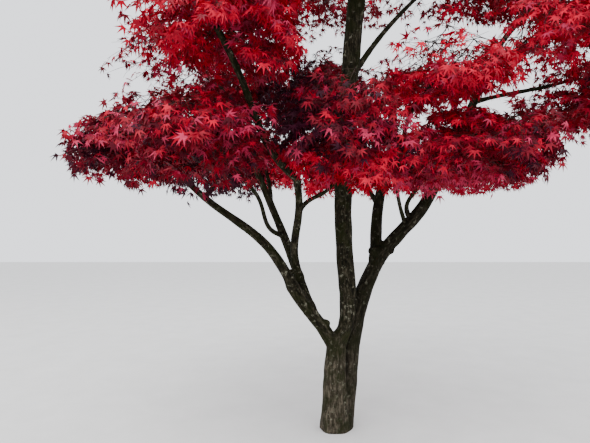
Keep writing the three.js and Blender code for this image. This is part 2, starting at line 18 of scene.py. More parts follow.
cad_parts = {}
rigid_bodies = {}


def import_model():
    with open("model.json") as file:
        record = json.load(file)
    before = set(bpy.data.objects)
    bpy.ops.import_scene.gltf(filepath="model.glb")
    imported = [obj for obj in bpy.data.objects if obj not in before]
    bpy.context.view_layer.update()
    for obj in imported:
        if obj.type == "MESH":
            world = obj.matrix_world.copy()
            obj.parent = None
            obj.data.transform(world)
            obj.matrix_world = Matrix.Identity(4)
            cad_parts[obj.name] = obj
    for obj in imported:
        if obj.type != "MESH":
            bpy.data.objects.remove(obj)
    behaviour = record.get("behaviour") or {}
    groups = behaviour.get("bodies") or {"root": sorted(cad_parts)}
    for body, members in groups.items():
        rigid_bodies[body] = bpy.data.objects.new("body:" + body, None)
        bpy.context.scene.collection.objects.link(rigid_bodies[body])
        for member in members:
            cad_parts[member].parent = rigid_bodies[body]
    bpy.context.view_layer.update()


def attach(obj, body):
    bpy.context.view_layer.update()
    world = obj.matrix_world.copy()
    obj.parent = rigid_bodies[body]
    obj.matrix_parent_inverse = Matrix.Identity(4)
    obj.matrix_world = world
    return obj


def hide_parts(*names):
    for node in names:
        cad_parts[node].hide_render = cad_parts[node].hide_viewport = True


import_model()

METRES = 0.001
UP = Vector((0, 0, 1))

# Camera at the photograph's place, with the photograph's focal length and middle in pixels
CAMERA_PLACE = (-0.288, -3.2, 1.29)
CAMERA_PITCH = 93
LENS = 27.03
SENSOR_WIDTH = 36
FOCUS = 443
PHOTO_MIDDLE = (295, 221.5)
VIEWER = np.array(CAMERA_PLACE) / METRES

# Trunk: two stems grown together, one row per height with x, y, z and radius
TRUNK = {
    "front": [
        (-8, -10, 0, 104),
        (-6, -12, 90, 97),
        (-4, -14, 400, 80),
        (4, -16, 585, 68),
        (66, -18, 690, 53),
        (82, -19, 775, 55),
        (88, -20, 960, 60),
    ],
    "rear": [
        (52, 26, 0, 80),
        (62, 28, 90, 74),
        (96, 30, 400, 66),
        (118, 32, 585, 64),
        (150, 34, 770, 61),
        (212, 42, 960, 59),
    ],
}
FLARE_DEPTH = 0.05
FLARE_HEIGHT = 160
FLARE_RIDGES = 5

# Limbs, parents first: parent, place on it, tip, bow, radii at both ends and any sway
LIMBS = {
    "left_bough": ("front", 0.46, (-307, -115, 1005), (5, 0, 5), (47, 45), (5, 0, 5)),
    "left_limb": ("left_bough", 1, (-1100, -345, 1810), (40, 5, 30), (38, 18), (20, 0, 25)),
    "left_back_limb": ("left_limb", 0.75, (-880, 120, 1900), (30, 0, -30), (20, 13)),
    "upper_left_limb": ("left_bough", 0.6, (-855, 330, 2500), (25, 75, -15), (40, 15), (10, 5, -5)),
    "left_front_limb": (
        "upper_left_limb", 0.33, (-595, -330, 1685), (-20, -10, -25), (18, 13), (-20, -5, -20)),
    "back_left_limb": ("upper_left_limb", 0.48, (-560, 720, 1990), (20, 10, -20), (20, 13)),
    "high_back_left_limb": ("upper_left_limb", 0.72, (-700, 760, 2640), (10, 0, -30), (17, 12)),
    "front_limb": (
        "upper_left_limb", 0.14, (-275, -405, 1700), (-15, 15, 10), (31, 25), (-20, 0, 0)),
    "front_small_limb": ("front_limb", 0.68, (-30, -370, 1695), (-5, 0, 5), (16, 11), (-10, 0, 10)),
    "front_upper_limb": (
        "front_limb", 1, (-680, -1060, 2375), (-40, 15, -10), (24, 16), (-20, 15, -10)),
    "centre_bough": ("front", 1, (135, -250, 2980), (-53, 0, -5), (62, 60), (-7, 15, 5)),
    "centre_back_limb": ("centre_bough", 0.42, (-80, 250, 2330), (0, 20, -30), (24, 14)),
    "centre_side_limb": (
        "centre_bough", 0.72, (675, 120, 3215), (-30, 15, 20), (23, 14), (0, -5, 0)),
    "leader": ("centre_bough", 1, (210, -60, 4060), (-20, -40, 0), (56, 14), (20, 0, 0)),
    "high_left_limb": ("leader", 0.12, (-480, -230, 3290), (0, -20, -40), (26, 13)),
    "high_front_limb": ("leader", 0.2, (130, -650, 3300), (10, 0, -30), (22, 13)),
    "crown_back_limb": ("leader", 0.36, (130, 400, 3540), (-10, 0, -40), (23, 13)),
    "top_right_limb": ("leader", 0.48, (600, -60, 3830), (0, 0, -30), (21, 12)),
    "top_left_limb": ("leader", 0.58, (-220, -90, 3900), (0, 0, -25), (19, 12)),
    "right_limb": ("rear", 1, (810, 100, 1880), (5, 10, -15), (56, 42), (-30, 5, 20)),
    "upright_limb": ("right_limb", 0.2, (505, 520, 2695), (35, 15, -15), (47, 28), (-45, -5, -5)),
    "back_limb": ("upright_limb", 0.3, (320, 860, 2000), (0, 0, -40), (24, 14)),
    "back_upper_limb": ("upright_limb", 0.66, (250, 900, 2700), (0, 0, -40), (19, 12)),
    "right_small_limb": ("right_limb", 0.53, (470, -430, 2170), (-95, -20, -10), (14, 11)),
    "right_inner_limb": (
        "right_limb", 0.58, (630, -60, 1765), (-45, 20, 15), (16, 13), (-20, -5, 0)),
    "right_back_limb": ("right_limb", 0.8, (900, 560, 2010), (10, 0, -30), (22, 14)),
    "right_upper_limb": ("right_limb", 1, (1610, 100, 3145), (-65, 0, 50), (40, 15), (30, 0, -20)),
    "right_lower_limb": ("right_upper_limb", 0.07, (1080, -40, 1960), (0, 0, -15), (18, 13)),
    "right_low_limb": (
        "right_upper_limb", 0.36, (1685, -60, 2470), (0, 0, 0), (17, 12), (0, 0, 5)),
    "right_high_limb": ("right_upper_limb", 0.44, (1200, -230, 2600), (0, 0, -15), (16, 12)),
    "right_outer_limb": ("right_upper_limb", 0.6, (1765, -110, 2950), (10, -10, -30), (18, 12)),
}
GAP = 0.3
THICK_RADIUS = 30
THICK_STEP = 260
THIN_STEP = 200
STEP_RANGE = (3, 7)

# Masses: limb, middle, half sizes, large leaves, seed, brightness and share of pink sprays
# Brightness is partly the leaves' own colour, partly painted light on outer masses and painted shade
# on inner ones
MASSES = {
    "left_low_leaves": ("left_limb", (-1340, -310, 1990), (520, 600, 340), 10, 34, 0.5, 0.5),
    "left_front_leaves": ("left_front_limb", (-830, -680, 1965), (560, 580, 415), 11, 31, 0.62, 0.7),
    "left_back_leaves": ("left_back_limb", (-1130, 400, 2110), (640, 600, 400), 11, 32, 0.4, 0.1),
    "back_left_leaves": ("back_left_limb", (-660, 1020, 2120), (640, 600, 400), 11, 4, 0.5, 0.2),
    "front_leaves": ("front_small_limb", (30, -680, 1980), (540, 540, 430), 11, 34, 0.42, 0.1),
    "right_front_leaves": ("right_inner_limb", (800, -520, 1930), (600, 560, 370), 11, 6, 0.5, 0.2),
    "right_low_leaves": ("right_lower_limb", (1150, 80, 2060), (520, 600, 400), 11, 32, 0.45, 0.1),
    "right_back_leaves": ("right_back_limb", (1020, 880, 2120), (640, 620, 400), 11, 32, 0.5, 0.1),
    "back_low_leaves": ("back_limb", (180, 1180, 2140), (640, 620, 400), 11, 32, 0.4, 0.1),
    "right_far_leaves": ("right_low_limb", (1880, -60, 2440), (540, 620, 400), 11, 32, 0.7, 0.2),
    "front_high_leaves": ("front_upper_limb", (-640, -940, 2440), (560, 520, 370), 11, 11, 0.95, 0.1),
    "right_middle_leaves": ("right_small_limb", (620, -640, 2320), (500, 520, 310), 11, 12, 0.95, 0.1),
    "right_high_leaves": ("right_high_limb", (1330, -460, 2680), (580, 580, 380), 11, 33, 0.9, 0.1),
    # Darkest mass: painted shade deep in the crown
    "centre_back_leaves": ("centre_back_limb", (-150, 460, 2500), (600, 600, 420), 10, 33, 0.12, 0.0),
    "left_high_leaves": ("upper_left_limb", (-1230, 160, 2740), (620, 640, 400), 8, 33, 0.7, 0.3),
    "high_back_left_leaves": (
        "high_back_left_limb", (-820, 980, 2820), (640, 600, 420), 10, 16, 0.6, 0.2),
    "high_back_leaves": ("back_upper_limb", (90, 1230, 2860), (620, 580, 400), 10, 33, 0.5, 0.1),
    "high_back_right_leaves": ("upright_limb", (900, 900, 2920), (640, 620, 420), 11, 32, 0.5, 0.1),
    "right_outer_leaves": ("right_outer_limb", (1900, -120, 3000), (540, 640, 380), 10, 32, 0.8, 0.1),
    "centre_side_leaves": ("centre_side_limb", (790, 130, 3400), (600, 600, 400), 10, 33, 0.7, 0.1),
    "right_top_leaves": ("right_upper_limb", (1480, 300, 3520), (560, 600, 420), 11, 33, 0.8, 0.1),
    "high_left_leaves": ("high_left_limb", (-780, -240, 3320), (640, 640, 420), 10, 32, 0.8, 0.2),
    "high_front_leaves": ("high_front_limb", (110, -800, 3280), (620, 580, 400), 11, 23, 0.8, 0.1),
    "crown_back_leaves": ("crown_back_limb", (60, 700, 3560), (640, 620, 420), 10, 34, 0.7, 0.2),
    "top_left_leaves": ("top_left_limb", (-460, 0, 3970), (580, 600, 380), 10, 32, 0.8, 0.2),
    "top_leaves": ("leader", (230, 0, 4250), (560, 560, 330), 11, 33, 0.95, 0.1),
    "top_right_leaves": ("top_right_limb", (880, -90, 4000), (560, 580, 370), 10, 27, 0.8, 0.1),
}

# Growth of a mass, as in the part's source
WISHES = 120
STEM = 60
HEART = 0.6
SPACE_GAP = 3
INNER_REACH = 0.75
HEIGHT_REACH = 0.66
HEIGHT_TAPER = 0.6
DROOP = 0.3
TURN_STEP = 0.381966
SPREAD_STEP = 0.754878
HEIGHT_STEP = 0.569840
PATH_COST = 0.4
JOINTS = (0.2, 0.4, 0.6, 0.8)
STEM_JOINTS = (0.1, 0.4, 0.7, 0.95)
HEART_RADIUS = 9
STALK_RADIUS = 2.8
ROOT_SHARE = 0.48
TWIG_CLEAR = 12
TWIG_STEP = 12
LEAF_CLEAR = 15
LEAF_STEP = 50
PARALLEL = 1e-9

# Large leaf of the source, which is the reach of one spray here
SPRAY_LENGTH = 400
SPRAY_TRIES = ((1, 1), (1, 0.8), (0.85, 1), (0.85, 0.8), (0.7, 1), (0.7, 0.75))
LOBES = ((0, 1), (41, 0.9), (86, 0.62))
NOTCHES = ((21, 0.46), (63, 0.38))
MIDDLE = 0.34
BALANCE = 0.4
CUP = 0.14
PITCH = (-52, -8)
TURN = 40
ROLL = 28

# Sprays between the source's ones; the share of them and of the leaves in airy masses
FILL_SPRAYS = 13
FILL_WISHES = 200
FILL_SEED = 1000
FILL_TRIES = ((0.85, 1), (0.7, 1), (0.7, 0.8), (0.55, 1), (0.55, 0.8))
FILL_APART = 120
FILL_JOINTS = (0.12, 0.28, 0.44, 0.6, 0.76, 0.92)
LOW_STEM_JOINTS = (0.5,)
LAST_JOINTS = (0.3, 0.5, 0.7, 0.9)
FULLNESS = {
    "left_high_leaves": (1.0, 0.32),
    "centre_back_leaves": (0.8, 0.9),
    "high_back_right_leaves": (0.7, 0.6),
    "right_middle_leaves": (0.8, 0.85),
    "right_high_leaves": (0.7, 0.65),
    "centre_side_leaves": (0.8, 0.7),
}

# Random numbers of the source: the largest word, and the step from state to state
WORD = 0xFFFFFFFF
STATE_STEP = 0x6D2B79F5

Limb = namedtuple("Limb", "path radii ways")
Growth = namedtuple("Growth", "lines leaves")


def random_numbers(seed):
    """Even numbers from 0 to 1, the same run as in the part's source."""
    state = seed & WORD

    def draw():
        nonlocal state
        state = (state + STATE_STEP) & WORD
        t = ((state ^ (state >> 15)) * (state | 1)) & WORD
        t = (((t + (((t ^ (t >> 7)) * (t | 61)) & WORD)) & WORD) ^ t) & WORD
        return ((t ^ (t >> 14)) & WORD) / (WORD + 1)

    return draw


def vec(row):
    return np.array(row, dtype=float)


def unit(a):
    return a / norm(a)


def mix(a, b, t):
    return a * (1 - t) + b * t


def bowed(a, b, bow, t):
    """The place at t on the way from a to b, whose middle is moved by the bow."""
    return mix(a, b, t) + bow * 4 * t * (1 - t)


def tangents(path, first=None):
    last = path.shape[-2] - 1
    steps = np.arange(last + 1)
    ways = path[..., np.minimum(steps + 1, last), :] - path[..., np.maximum(steps - 1, 0), :]
    ways /= norm(ways, axis=-1, keepdims=True)
    if first is not None:
        ways[0] = first
    return ways


def limb_points(name, start, count):
    """Points along a limb: a line that is bowed once and may sway both ways."""
    _, _, tip, bow, _, *sway = LIMBS[name]
    t = np.linspace(0, 1, count + 1)[:, None]
    points = bowed(start, vec(tip), vec(bow), t)
    return points + vec(sway[0]) * np.sin(2 * np.pi * t) if sway else points


def point_along(path, t):
    place = t * (len(path) - 1)
    i = min(int(place), len(path) - 2)
    return mix(path[i], path[i + 1], place - i)


def grow_wood():
    """Every stem and limb with its path, radii and directions, as the source has them."""
    wood = {}
    for name, rows in TRUNK.items():
        rows = vec(rows)
        wood[name] = Limb(rows[:, :3], rows[:, 3], tangents(rows[:, :3], UP))
    for name, (parent_name, at, tip, _, ends, *_) in LIMBS.items():
        parent = wood[parent_name]
        way = parent.ways[-1]
        start = parent.path[-1] + way * GAP if at == 1 else point_along(parent.path, at)
        step = THICK_STEP if ends[0] > THICK_RADIUS else THIN_STEP
        steps = math.floor(norm(vec(tip) - start) / step + 0.5)
        steps = max(STEP_RANGE[0], min(STEP_RANGE[1], steps))
        path = limb_points(name, start, steps)
        radii = np.linspace(*ends, steps + 1)
        if at == 1:
            radii[0] = parent.radii[-1]
        wood[name] = Limb(path, radii, tangents(path, way if at == 1 else None))
    return wood


def wood_pieces(wood):
    """Both ends and the larger radius of every straight piece of wood."""
    limbs = wood.values()
    starts = np.concatenate([limb.path[:-1] for limb in limbs])
    ends = np.concatenate([limb.path[1:] for limb in limbs])
    radii = np.concatenate([np.maximum(limb.radii[:-1], limb.radii[1:]) for limb in limbs])
    return starts, ends, radii


def distances(points, starts, ends):
    """The distance of every point from every straight piece."""
    along = ends - starts
    away = points[:, None] - starts[None]
    t = (away * along).sum(-1) / (along * along).sum(-1)
    t = np.clip(t, 0, 1)[..., None]
    return norm(away - along * t, axis=-1)


def leaf_local(degrees, reach):
    turn = math.radians(degrees)
    return vec((reach * math.cos(turn), reach * math.sin(turn), -CUP * reach * reach))


def both_sides(lobes, notches):
    """A leaf's outline from one side to the other, as angles with their reach."""
    half = [lobes[0]]
    for pair in zip(notches, lobes[1:]):
        half += pair
    return half[::-1] + [(-degrees, reach) for degrees, reach in half[1:]]


RIM = np.array([np.zeros(3), *(leaf_local(*row) for row in both_sides(LOBES, NOTCHES))])
NEXT_RIM = np.roll(RIM, -1, axis=0)
MIDDLE_POINT = leaf_local(0, MIDDLE)
TRIANGLES = np.array([[MIDDLE_POINT, a, b] for a, b in zip(RIM, NEXT_RIM)])
NO_TRIANGLES = np.empty((0, 3, 3))


def local_samples(rows):
    samples = [MIDDLE_POINT]
    for point, following in zip(RIM, NEXT_RIM):
        for row in range(1, rows + 1):
            for column in range(row):
                edge = mix(point, following, column / row)
                samples.append(mix(MIDDLE_POINT, edge, row / rows))
    return np.array(samples)


SAMPLES = {rows: local_samples(rows) for rows in range(1, SPRAY_LENGTH // LEAF_STEP + 1)}


class Spray:
    """A large leaf of the source: its foot, its axes ahead, aside and up, and its length."""

    def __init__(self, wish, shrink, slide, centre):
        place, self.axes = wish
        self.length = SPRAY_LENGTH * shrink
        self.base = mix(centre, place, slide) - self.axes[0] * BALANCE * self.length
        self.middle = self.place(MIDDLE_POINT)
        self.triangles = self.place(TRIANGLES)

    def place(self, local):
        return self.base + self.length * (local @ self.axes)


class Twig:
    """A twig from a to b: its way to the root, its radii, its free joints and its parent."""

    def __init__(self, a, b, way, radii, joints, parent=None):
        self.a = a
        self.b = b
        self.way = way
        self.radii = radii
        self.joints = list(joints)
        self.parent = parent
        self.length = norm(b - a)


def leaf_axes(turn, pitch, roll):
    ahead = vec((
        math.cos(turn) * math.cos(pitch), math.sin(turn) * math.cos(pitch), math.sin(pitch)))
    level = vec((-math.sin(turn), math.cos(turn), 0))
    side = level * math.cos(roll) + np.cross(ahead, level) * math.sin(roll)
    return np.array([ahead, side, np.cross(ahead, side)])


def any_crossing(a, b, triangles):
    """Whether any segment from a to b passes through any triangle."""
    way = (b - a)[:, None]
    first = (triangles[:, 1] - triangles[:, 0])[None]
    second = (triangles[:, 2] - triangles[:, 0])[None]
    normal = np.cross(way, second)
    scale = (first * normal).sum(-1)
    flat = np.abs(scale) < PARALLEL
    scale = np.where(flat, 1, scale)
    start = a[:, None] - triangles[None, :, 0]
    u = (start * normal).sum(-1) / scale
    other = np.cross(start, first)
    v = (way * other).sum(-1) / scale
    t = (second * other).sum(-1) / scale
    hit = (u >= 0) & (u <= 1) & (v >= 0) & (u + v <= 1) & (t >= 0) & (t <= 1) & ~flat
    return bool(hit.any())


def any_edge_crossing(own, triangles):
    """Whether an edge of a leaf's triangles, which share their third edges, crosses others."""
    return any_crossing(own[:, :2].reshape(-1, 3), own[:, 1:].reshape(-1, 3), triangles)


class Mass:
    """The egg-shaped space of a mass, cut halfway to each neighbour, and what grows in it."""

    def __init__(self, name, wood, pieces):
        limb_name, centre, size, *_ = MASSES[name]
        self.centre = vec(centre)
        self.size = vec(size)
        normals, limits = [], []
        for other, row in MASSES.items():
            if other != name:
                toward = vec(row[1]) - self.centre
                share = self.size.sum() / (self.size.sum() + sum(row[2]))
                normals.append(unit(toward))
                limits.append(normals[-1] @ (self.centre + toward * share) - SPACE_GAP)
        self.normals = np.array(normals)
        self.limits = np.array(limits)
        starts, ends, radii = pieces
        close = distances(self.centre[None], starts, ends)[0] < norm(self.size) + radii
        self.near = (starts[close], ends[close], radii[close])
        limb = wood[limb_name]
        way = limb.ways[-1]
        root = limb.path[-1] + way * GAP
        self.entry = root + way * STEM
        heart = mix(self.entry, self.centre, HEART)
        entry_radius = (limb.radii[-1] + HEART_RADIUS) / 2
        low = Twig(root, self.entry, 0, (limb.radii[-1], entry_radius), ())
        high = Twig(self.entry, heart, 0, (entry_radius, HEART_RADIUS), STEM_JOINTS)
        self.twigs = [low, high]
        self.sprays = []

    def holds(self, points):
        scaled = (points - self.centre) / self.size
        inside = (scaled * scaled).sum(1) <= 1
        return inside.all() and (points @ self.normals.T < self.limits).all()

    def clear(self, points, gap):
        starts, ends, radii = self.near
        return (distances(points, starts, ends) > radii + gap).all()

    def wishes(self, draw, count):
        """Where the sprays would like to be, spread evenly through the space."""
        start = [draw(), draw(), draw()]
        wishes = []
        for i in range(count):
            spread = math.sqrt((start[0] + i * SPREAD_STEP) % 1)
            turn = 2 * math.pi * ((start[1] + i * TURN_STEP) % 1)
            level = 2 * ((start[2] + i * HEIGHT_STEP) % 1) - 1
            height = level * HEIGHT_REACH * math.sqrt(1 - HEIGHT_TAPER * spread * spread)
            reach = spread * INNER_REACH
            place = self.centre + self.size * vec((
                reach * math.cos(turn), reach * math.sin(turn), height - DROOP * spread * spread))
            out = place - (self.entry + self.centre) / 2
            aside = math.radians(TURN) * (draw() * 2 - 1)
            pitch = math.radians(PITCH[0] + (PITCH[1] - PITCH[0]) * draw())
            roll = math.radians(ROLL) * (draw() * 2 - 1)
            wishes.append((place, leaf_axes(math.atan2(out[1], out[0]) + aside, pitch, roll)))
        return wishes

    def twig_fits(self, a, b, triangles):
        if any_crossing(a[None], b[None], triangles):
            return False
        count = math.ceil(norm(b - a) / TWIG_STEP) + 1
        samples = mix(a, b, np.linspace(0, 1, count + 1)[:, None])
        return self.holds(samples) and self.clear(samples, TWIG_CLEAR)

    def best_joint(self, spray, triangles):
        """The free joint that gives a spray its shortest way to the root, or None."""
        found = []
        for twig in self.twigs:
            for t in twig.joints:
                place = mix(twig.a, twig.b, t)
                step = spray.base - place
                if step @ spray.axes[0] >= 0:
                    way = twig.way + t * twig.length
                    radius = twig.radii[0] + (twig.radii[1] - twig.radii[0]) * t
                    found.append((norm(step) + PATH_COST * way, twig, t, place, way, radius))
        found.sort(key=lambda row: row[0])
        fitting = (joint for joint in found if self.twig_fits(joint[3], spray.base, triangles))
        return next(fitting, None)

    def fit(self, wish, tries, blocked, triangles=NO_TRIANGLES):
        """The first size and place at which a wished spray fits and can be joined."""
        for shrink, slide in tries:
            spray = Spray(wish, shrink, slide, self.centre)
            if not self.holds(spray.place(RIM)) or blocked(spray):
                continue
            samples = SAMPLES[math.ceil(spray.length / LEAF_STEP)]
            if not self.clear(spray.place(samples), LEAF_CLEAR):
                continue
            joint = self.best_joint(spray, triangles)
            if joint:
                return spray, joint
        return None

    def own_spray(self, wish):
        """A spray of the source, clear of the others and of their twigs."""
        triangles = np.concatenate([NO_TRIANGLES, *(spray.triangles for spray in self.sprays)])
        starts = np.array([twig.a for twig in self.twigs])
        ends = np.array([twig.b for twig in self.twigs])

        def blocked(spray):
            own = spray.triangles
            if any_edge_crossing(own, triangles) or any_edge_crossing(triangles, own):
                return True
            return any_crossing(starts, ends, own)

        return self.fit(wish, SPRAY_TRIES, blocked, triangles)

    def fill_spray(self, wish):
        """A smaller spray between the others, which only keeps clear of limbs and crowding."""
        middles = np.array([spray.middle for spray in self.sprays])

        def blocked(spray):
            return (norm(middles - spray.middle, axis=1) < FILL_APART).any()

        return self.fit(wish, FILL_TRIES, blocked)

    def grow(self, wishes, count, find, joints):
        """Adds sprays and their twigs where wishes can be met, up to a count."""
        goal = len(self.sprays) + count
        for wish in wishes:
            found = find(wish)
            if found:
                spray, (_, parent, t, place, way, radius) = found
                parent.joints.remove(t)
                radii = (radius * ROOT_SHARE, STALK_RADIUS)
                self.twigs.append(Twig(place, spray.base, way, radii, joints, (parent, t)))
                self.sprays.append(spray)
            if len(self.sprays) == goal:
                break


def grow_mass(name, index, wood, pieces):
    """The twigs and sprays of one mass: the source's own, then the ones between them."""
    mass = Mass(name, wood, pieces)
    wanted, seed = MASSES[name][3:5]
    mass.grow(mass.wishes(random_numbers(seed), WISHES), wanted, mass.own_spray, JOINTS)
    for twig in mass.twigs:
        twig.joints = list(FILL_JOINTS)
    mass.twigs[0].joints = list(LOW_STEM_JOINTS)
    extra = round(FILL_SPRAYS * FULLNESS.get(name, (1, 1))[0])
    wishes = mass.wishes(random_numbers(FILL_SEED + index), FILL_WISHES)
    mass.grow(wishes, extra, mass.fill_spray, LAST_JOINTS)
    return mass


# Bark: rings along each limb, swollen at its foot; the thick limbs become one skin
THICK_VOXEL = 7.6
SMOOTHING = 0.5
SMOOTHINGS = 5
RING_STEP = 25
LEAST_RINGS = 8
COLLAR = 0.28
LOW_COLLARS = {"left_bough": 0.05}
COLLAR_REACH = 0.7
END_LAP = 20
END_TAPER = 0.12
UNDER = 50
ON_GROUND = 0.01
THIN_SIDES = 10
THICK_SIDES = 24
WOBBLE = 0.12
WOBBLE_SIZE = 60
SIDE_HINT = (0.3, 0.9, 0.1)
UPRIGHT = 0.95

# Knobs: pruned stubs, swellings and the round foot, each from a point to a point with
# two radii, and how they round off: place on the way and share of the second radius
KNOBS = (
    ((-95, -42, 690), (-60, -68, 762), 30, 31),
    ((-292, -70, 1088), (-326, -90, 1116), 20, 14),
    ((330, 68, 1225), (350, 60, 1275), 62, 52),
    ((308, 60, 1232), (260, 36, 1262), 44, 36),
    ((372, 60, 1262), (440, 52, 1240), 38, 30),
    ((5, 4, -50), (46, 6, 340), 116, 78),
)
KNOB_ROUNDING = ((0.5, 1), (0.85, 0.9), (1, 0.45))

# Cleft between the two stems, by height, and the rear stem with its limbs, both darkened with painted
# shade
REAR_HALF = ("rear", "right_limb", "upright_limb", "right_upper_limb")
REAR_SHADE = 0.4
CLEFT_WIDTH = 9
CLEFT_DEPTH = 11
CLEFT_HEIGHTS = ((130, 0), (330, 0.8), (430, 1), (620, 1), (760, 0.35), (900, 0.1))
FAR = 1e3
BLOCK = 4000

# Relief of the bark: depths of streaks, cracks and lumps, and how long each one is
RELIEF_STREAK = 1.7
RELIEF_FINE = 0.7
RELIEF_LUMP = 5
RELIEF_RADIUS = 60
RELIEF_TURNS = 2.6
FINE_TURNS = 3.2
STREAK_LENGTH = 190
FINE_LENGTH = 75
LUMP_WIDTH = 85
LUMP_HEIGHT = 120
LIMB_SHIFT = 7.3


def lengths_along(path):
    return np.append(0, np.cumsum(norm(np.diff(path, axis=0), axis=1)))


def turns_round(sides):
    return 2 * np.pi * np.arange(sides) / sides


def unit_rings(across, other, sides):
    turns = turns_round(sides)[:, None]
    return across[..., None, :] * np.cos(turns) + other[..., None, :] * np.sin(turns)


def frames_along(ways):
    """A turning-free pair of side directions for each point of a path."""
    side = np.cross(ways[0], SIDE_HINT if abs(ways[0][2]) < UPRIGHT else (1.0, 0.0, 0.0))
    sides = []
    for way in ways:
        side = unit(side - way * (side @ way))
        sides.append(side)
    return np.array(sides), np.cross(ways, sides)


def fine_limb(name, wood):
    """A stem or limb in short steps, with the swelling at a limb's foot."""
    if name in TRUNK:
        rows = vec(TRUNK[name])
        heights = np.append(np.arange(-UNDER, rows[-1, 2], RING_STEP), rows[-1, 2])
        points = np.array([np.interp(heights, rows[:, 2], rows[:, k]) for k in range(4)]).T
        points[:, 2] = heights
        return Limb(points[:, :3], points[:, 3], tangents(points[:, :3], UP))
    parent_name, at, tip, _, ends, *_ = LIMBS[name]
    start = wood[name].path[0]
    parent_radii = wood[parent_name].radii
    reach = norm(vec(tip) - start)
    count = max(LEAST_RINGS, round(reach / RING_STEP))
    path = limb_points(name, start, count)
    radii = np.linspace(*ends, count + 1)
    ways = tangents(path)
    along = np.linspace(0, reach, count + 1)
    if at == 1:
        radii = np.maximum(radii, parent_radii[-1] - along * END_TAPER)
        path = np.vstack([path[0] - ways[0] * END_LAP, path])
        return Limb(path, np.append(radii[0], radii), np.vstack([ways[0], ways]))
    around = np.interp(at * (len(parent_radii) - 1), range(len(parent_radii)), parent_radii)
    beyond = np.maximum(0, along - around) / (COLLAR_REACH * around)
    return Limb(path, radii * (1 + LOW_COLLARS.get(name, COLLAR) * np.exp(-beyond)), ways)


def limb_rings(limb, sides, flare=False):
    """Rings of points round a limb, ridged near the ground where it flares."""
    reach = np.repeat(limb.radii[:, None], sides, axis=1)
    if flare:
        low = np.maximum(0, 1 - limb.path[:, 2:] / FLARE_HEIGHT)
        reach = reach * (1 + FLARE_DEPTH * low * np.cos(FLARE_RIDGES * turns_round(sides)))
    rings = unit_rings(*frames_along(limb.ways), sides)
    return limb.path[:, None] + rings * reach[..., None]


def add_tube(points, faces, rings):
    """Adds the points and faces of a closed tube."""
    first = sum(len(block) for block in points)
    count, sides = rings.shape[:2]
    points.append(rings.reshape(-1, 3))
    for i in range(count - 1):
        for j in range(sides):
            a = first + i * sides + j
            b = first + i * sides + (j + 1) % sides
            faces.append((a, b, b + sides, a + sides))
    faces.append(tuple(first + j for j in reversed(range(sides))))
    last = first + (count - 1) * sides
    faces.append(tuple(last + j for j in range(sides)))


def new_object(name, data):
    made = bpy.data.objects.new(name, data)
    bpy.context.scene.collection.objects.link(made)
    return made


def mesh_object(name, points, faces):
    mesh = bpy.data.meshes.new(name)
    mesh.from_pydata((points * METRES).tolist(), [], faces, shade_flat=False)
    mesh.validate()
    return new_object(name, mesh)


def cut_at_ground(mesh):
    """Cuts away what is under the ground and closes the cut with one flat face."""
    solid = bmesh.new()
    solid.from_mesh(mesh)
    everything = solid.verts[:] + solid.edges[:] + solid.faces[:]
    cut = bmesh.ops.bisect_plane(
        solid, geom=everything, plane_co=(0, 0, 0), plane_no=UP, clear_inner=True)
    rim = [edge for edge in cut["geom_cut"] if isinstance(edge, bmesh.types.BMEdge)]
    bmesh.ops.edgenet_fill(solid, edges=rim)
    bmesh.ops.recalc_face_normals(solid, faces=solid.faces[:])
    solid.to_mesh(mesh)
    solid.free()


def thick_bark(wood):
    """The trunk and thick limbs grown together into one skin."""
    points, faces = [], []
    names = [name for name, limb in wood.items() if limb.radii[0] > THICK_RADIUS]
    for name in names:
        add_tube(points, faces, limb_rings(fine_limb(name, wood), THICK_SIDES, name in TRUNK))
    for a, b, first, last in KNOBS:
        path = vec([a] + [mix(vec(a), vec(b), t) for t, _ in KNOB_ROUNDING])
        radii = vec([first] + [last * share for _, share in KNOB_ROUNDING])
        add_tube(points, faces, limb_rings(Limb(path, radii, tangents(path)), THICK_SIDES))
    rough = mesh_object("bark_skin", np.concatenate(points), faces)
    remesh = rough.modifiers.new("remesh", "REMESH")
    remesh.mode = "VOXEL"
    remesh.voxel_size = THICK_VOXEL * METRES
    smooth = rough.modifiers.new("smooth", "SMOOTH")
    smooth.factor = SMOOTHING
    smooth.iterations = SMOOTHINGS
    seen = rough.evaluated_get(bpy.context.evaluated_depsgraph_get())
    mesh = bpy.data.meshes.new_from_object(seen)
    cut_at_ground(mesh)
    skin, normals = np.empty((2, len(mesh.vertices) * 3))
    mesh.vertices.foreach_get("co", skin)
    mesh.vertices.foreach_get("normal", normals)
    quads = [tuple(face.vertices) for face in mesh.polygons]
    bpy.data.objects.remove(rough)
    return skin.reshape(-1, 3) / METRES, normals.reshape(-1, 3), quads, names


def bark_places(points, wood, names):
    """The way along the nearest limb, the turn round it, its radius, its number and the cleft."""
    best = np.full(len(points), np.inf)
    halves = np.full((2, len(points)), FAR)
    found = np.zeros((4, len(points)))
    for k, name in enumerate(names):
        path, radii, ways = fine_limb(name, wood)
        across, other = frames_along(ways)
        lengths = lengths_along(path)
        for first in range(0, len(points), BLOCK):
            rows = slice(first, first + BLOCK)
            away = norm(points[rows, None] - path, axis=2) - radii
            apart = away.min(1)
            half = halves[int(name in REAR_HALF), rows]
            np.minimum(half, apart, out=half)
            closer = np.flatnonzero(apart < best[rows])
            at = away.argmin(1)[closer]
            picked = closer + first
            out = points[picked] - path[at]
            along = lengths[at] + (out * ways[at]).sum(1)
            turn = np.arctan2((out * other[at]).sum(1), (out * across[at]).sum(1))
            best[picked] = apart[closer]
            found[:, picked] = along, turn, radii[at], np.full(len(at), k)
    cleft = np.exp(-((halves[0] - halves[1]) / CLEFT_WIDTH) ** 2)
    return *found, cleft * np.interp(points[:, 2], *zip(*CLEFT_HEIGHTS))


def noise_at(*place):
    return noise.noise(Vector(place))


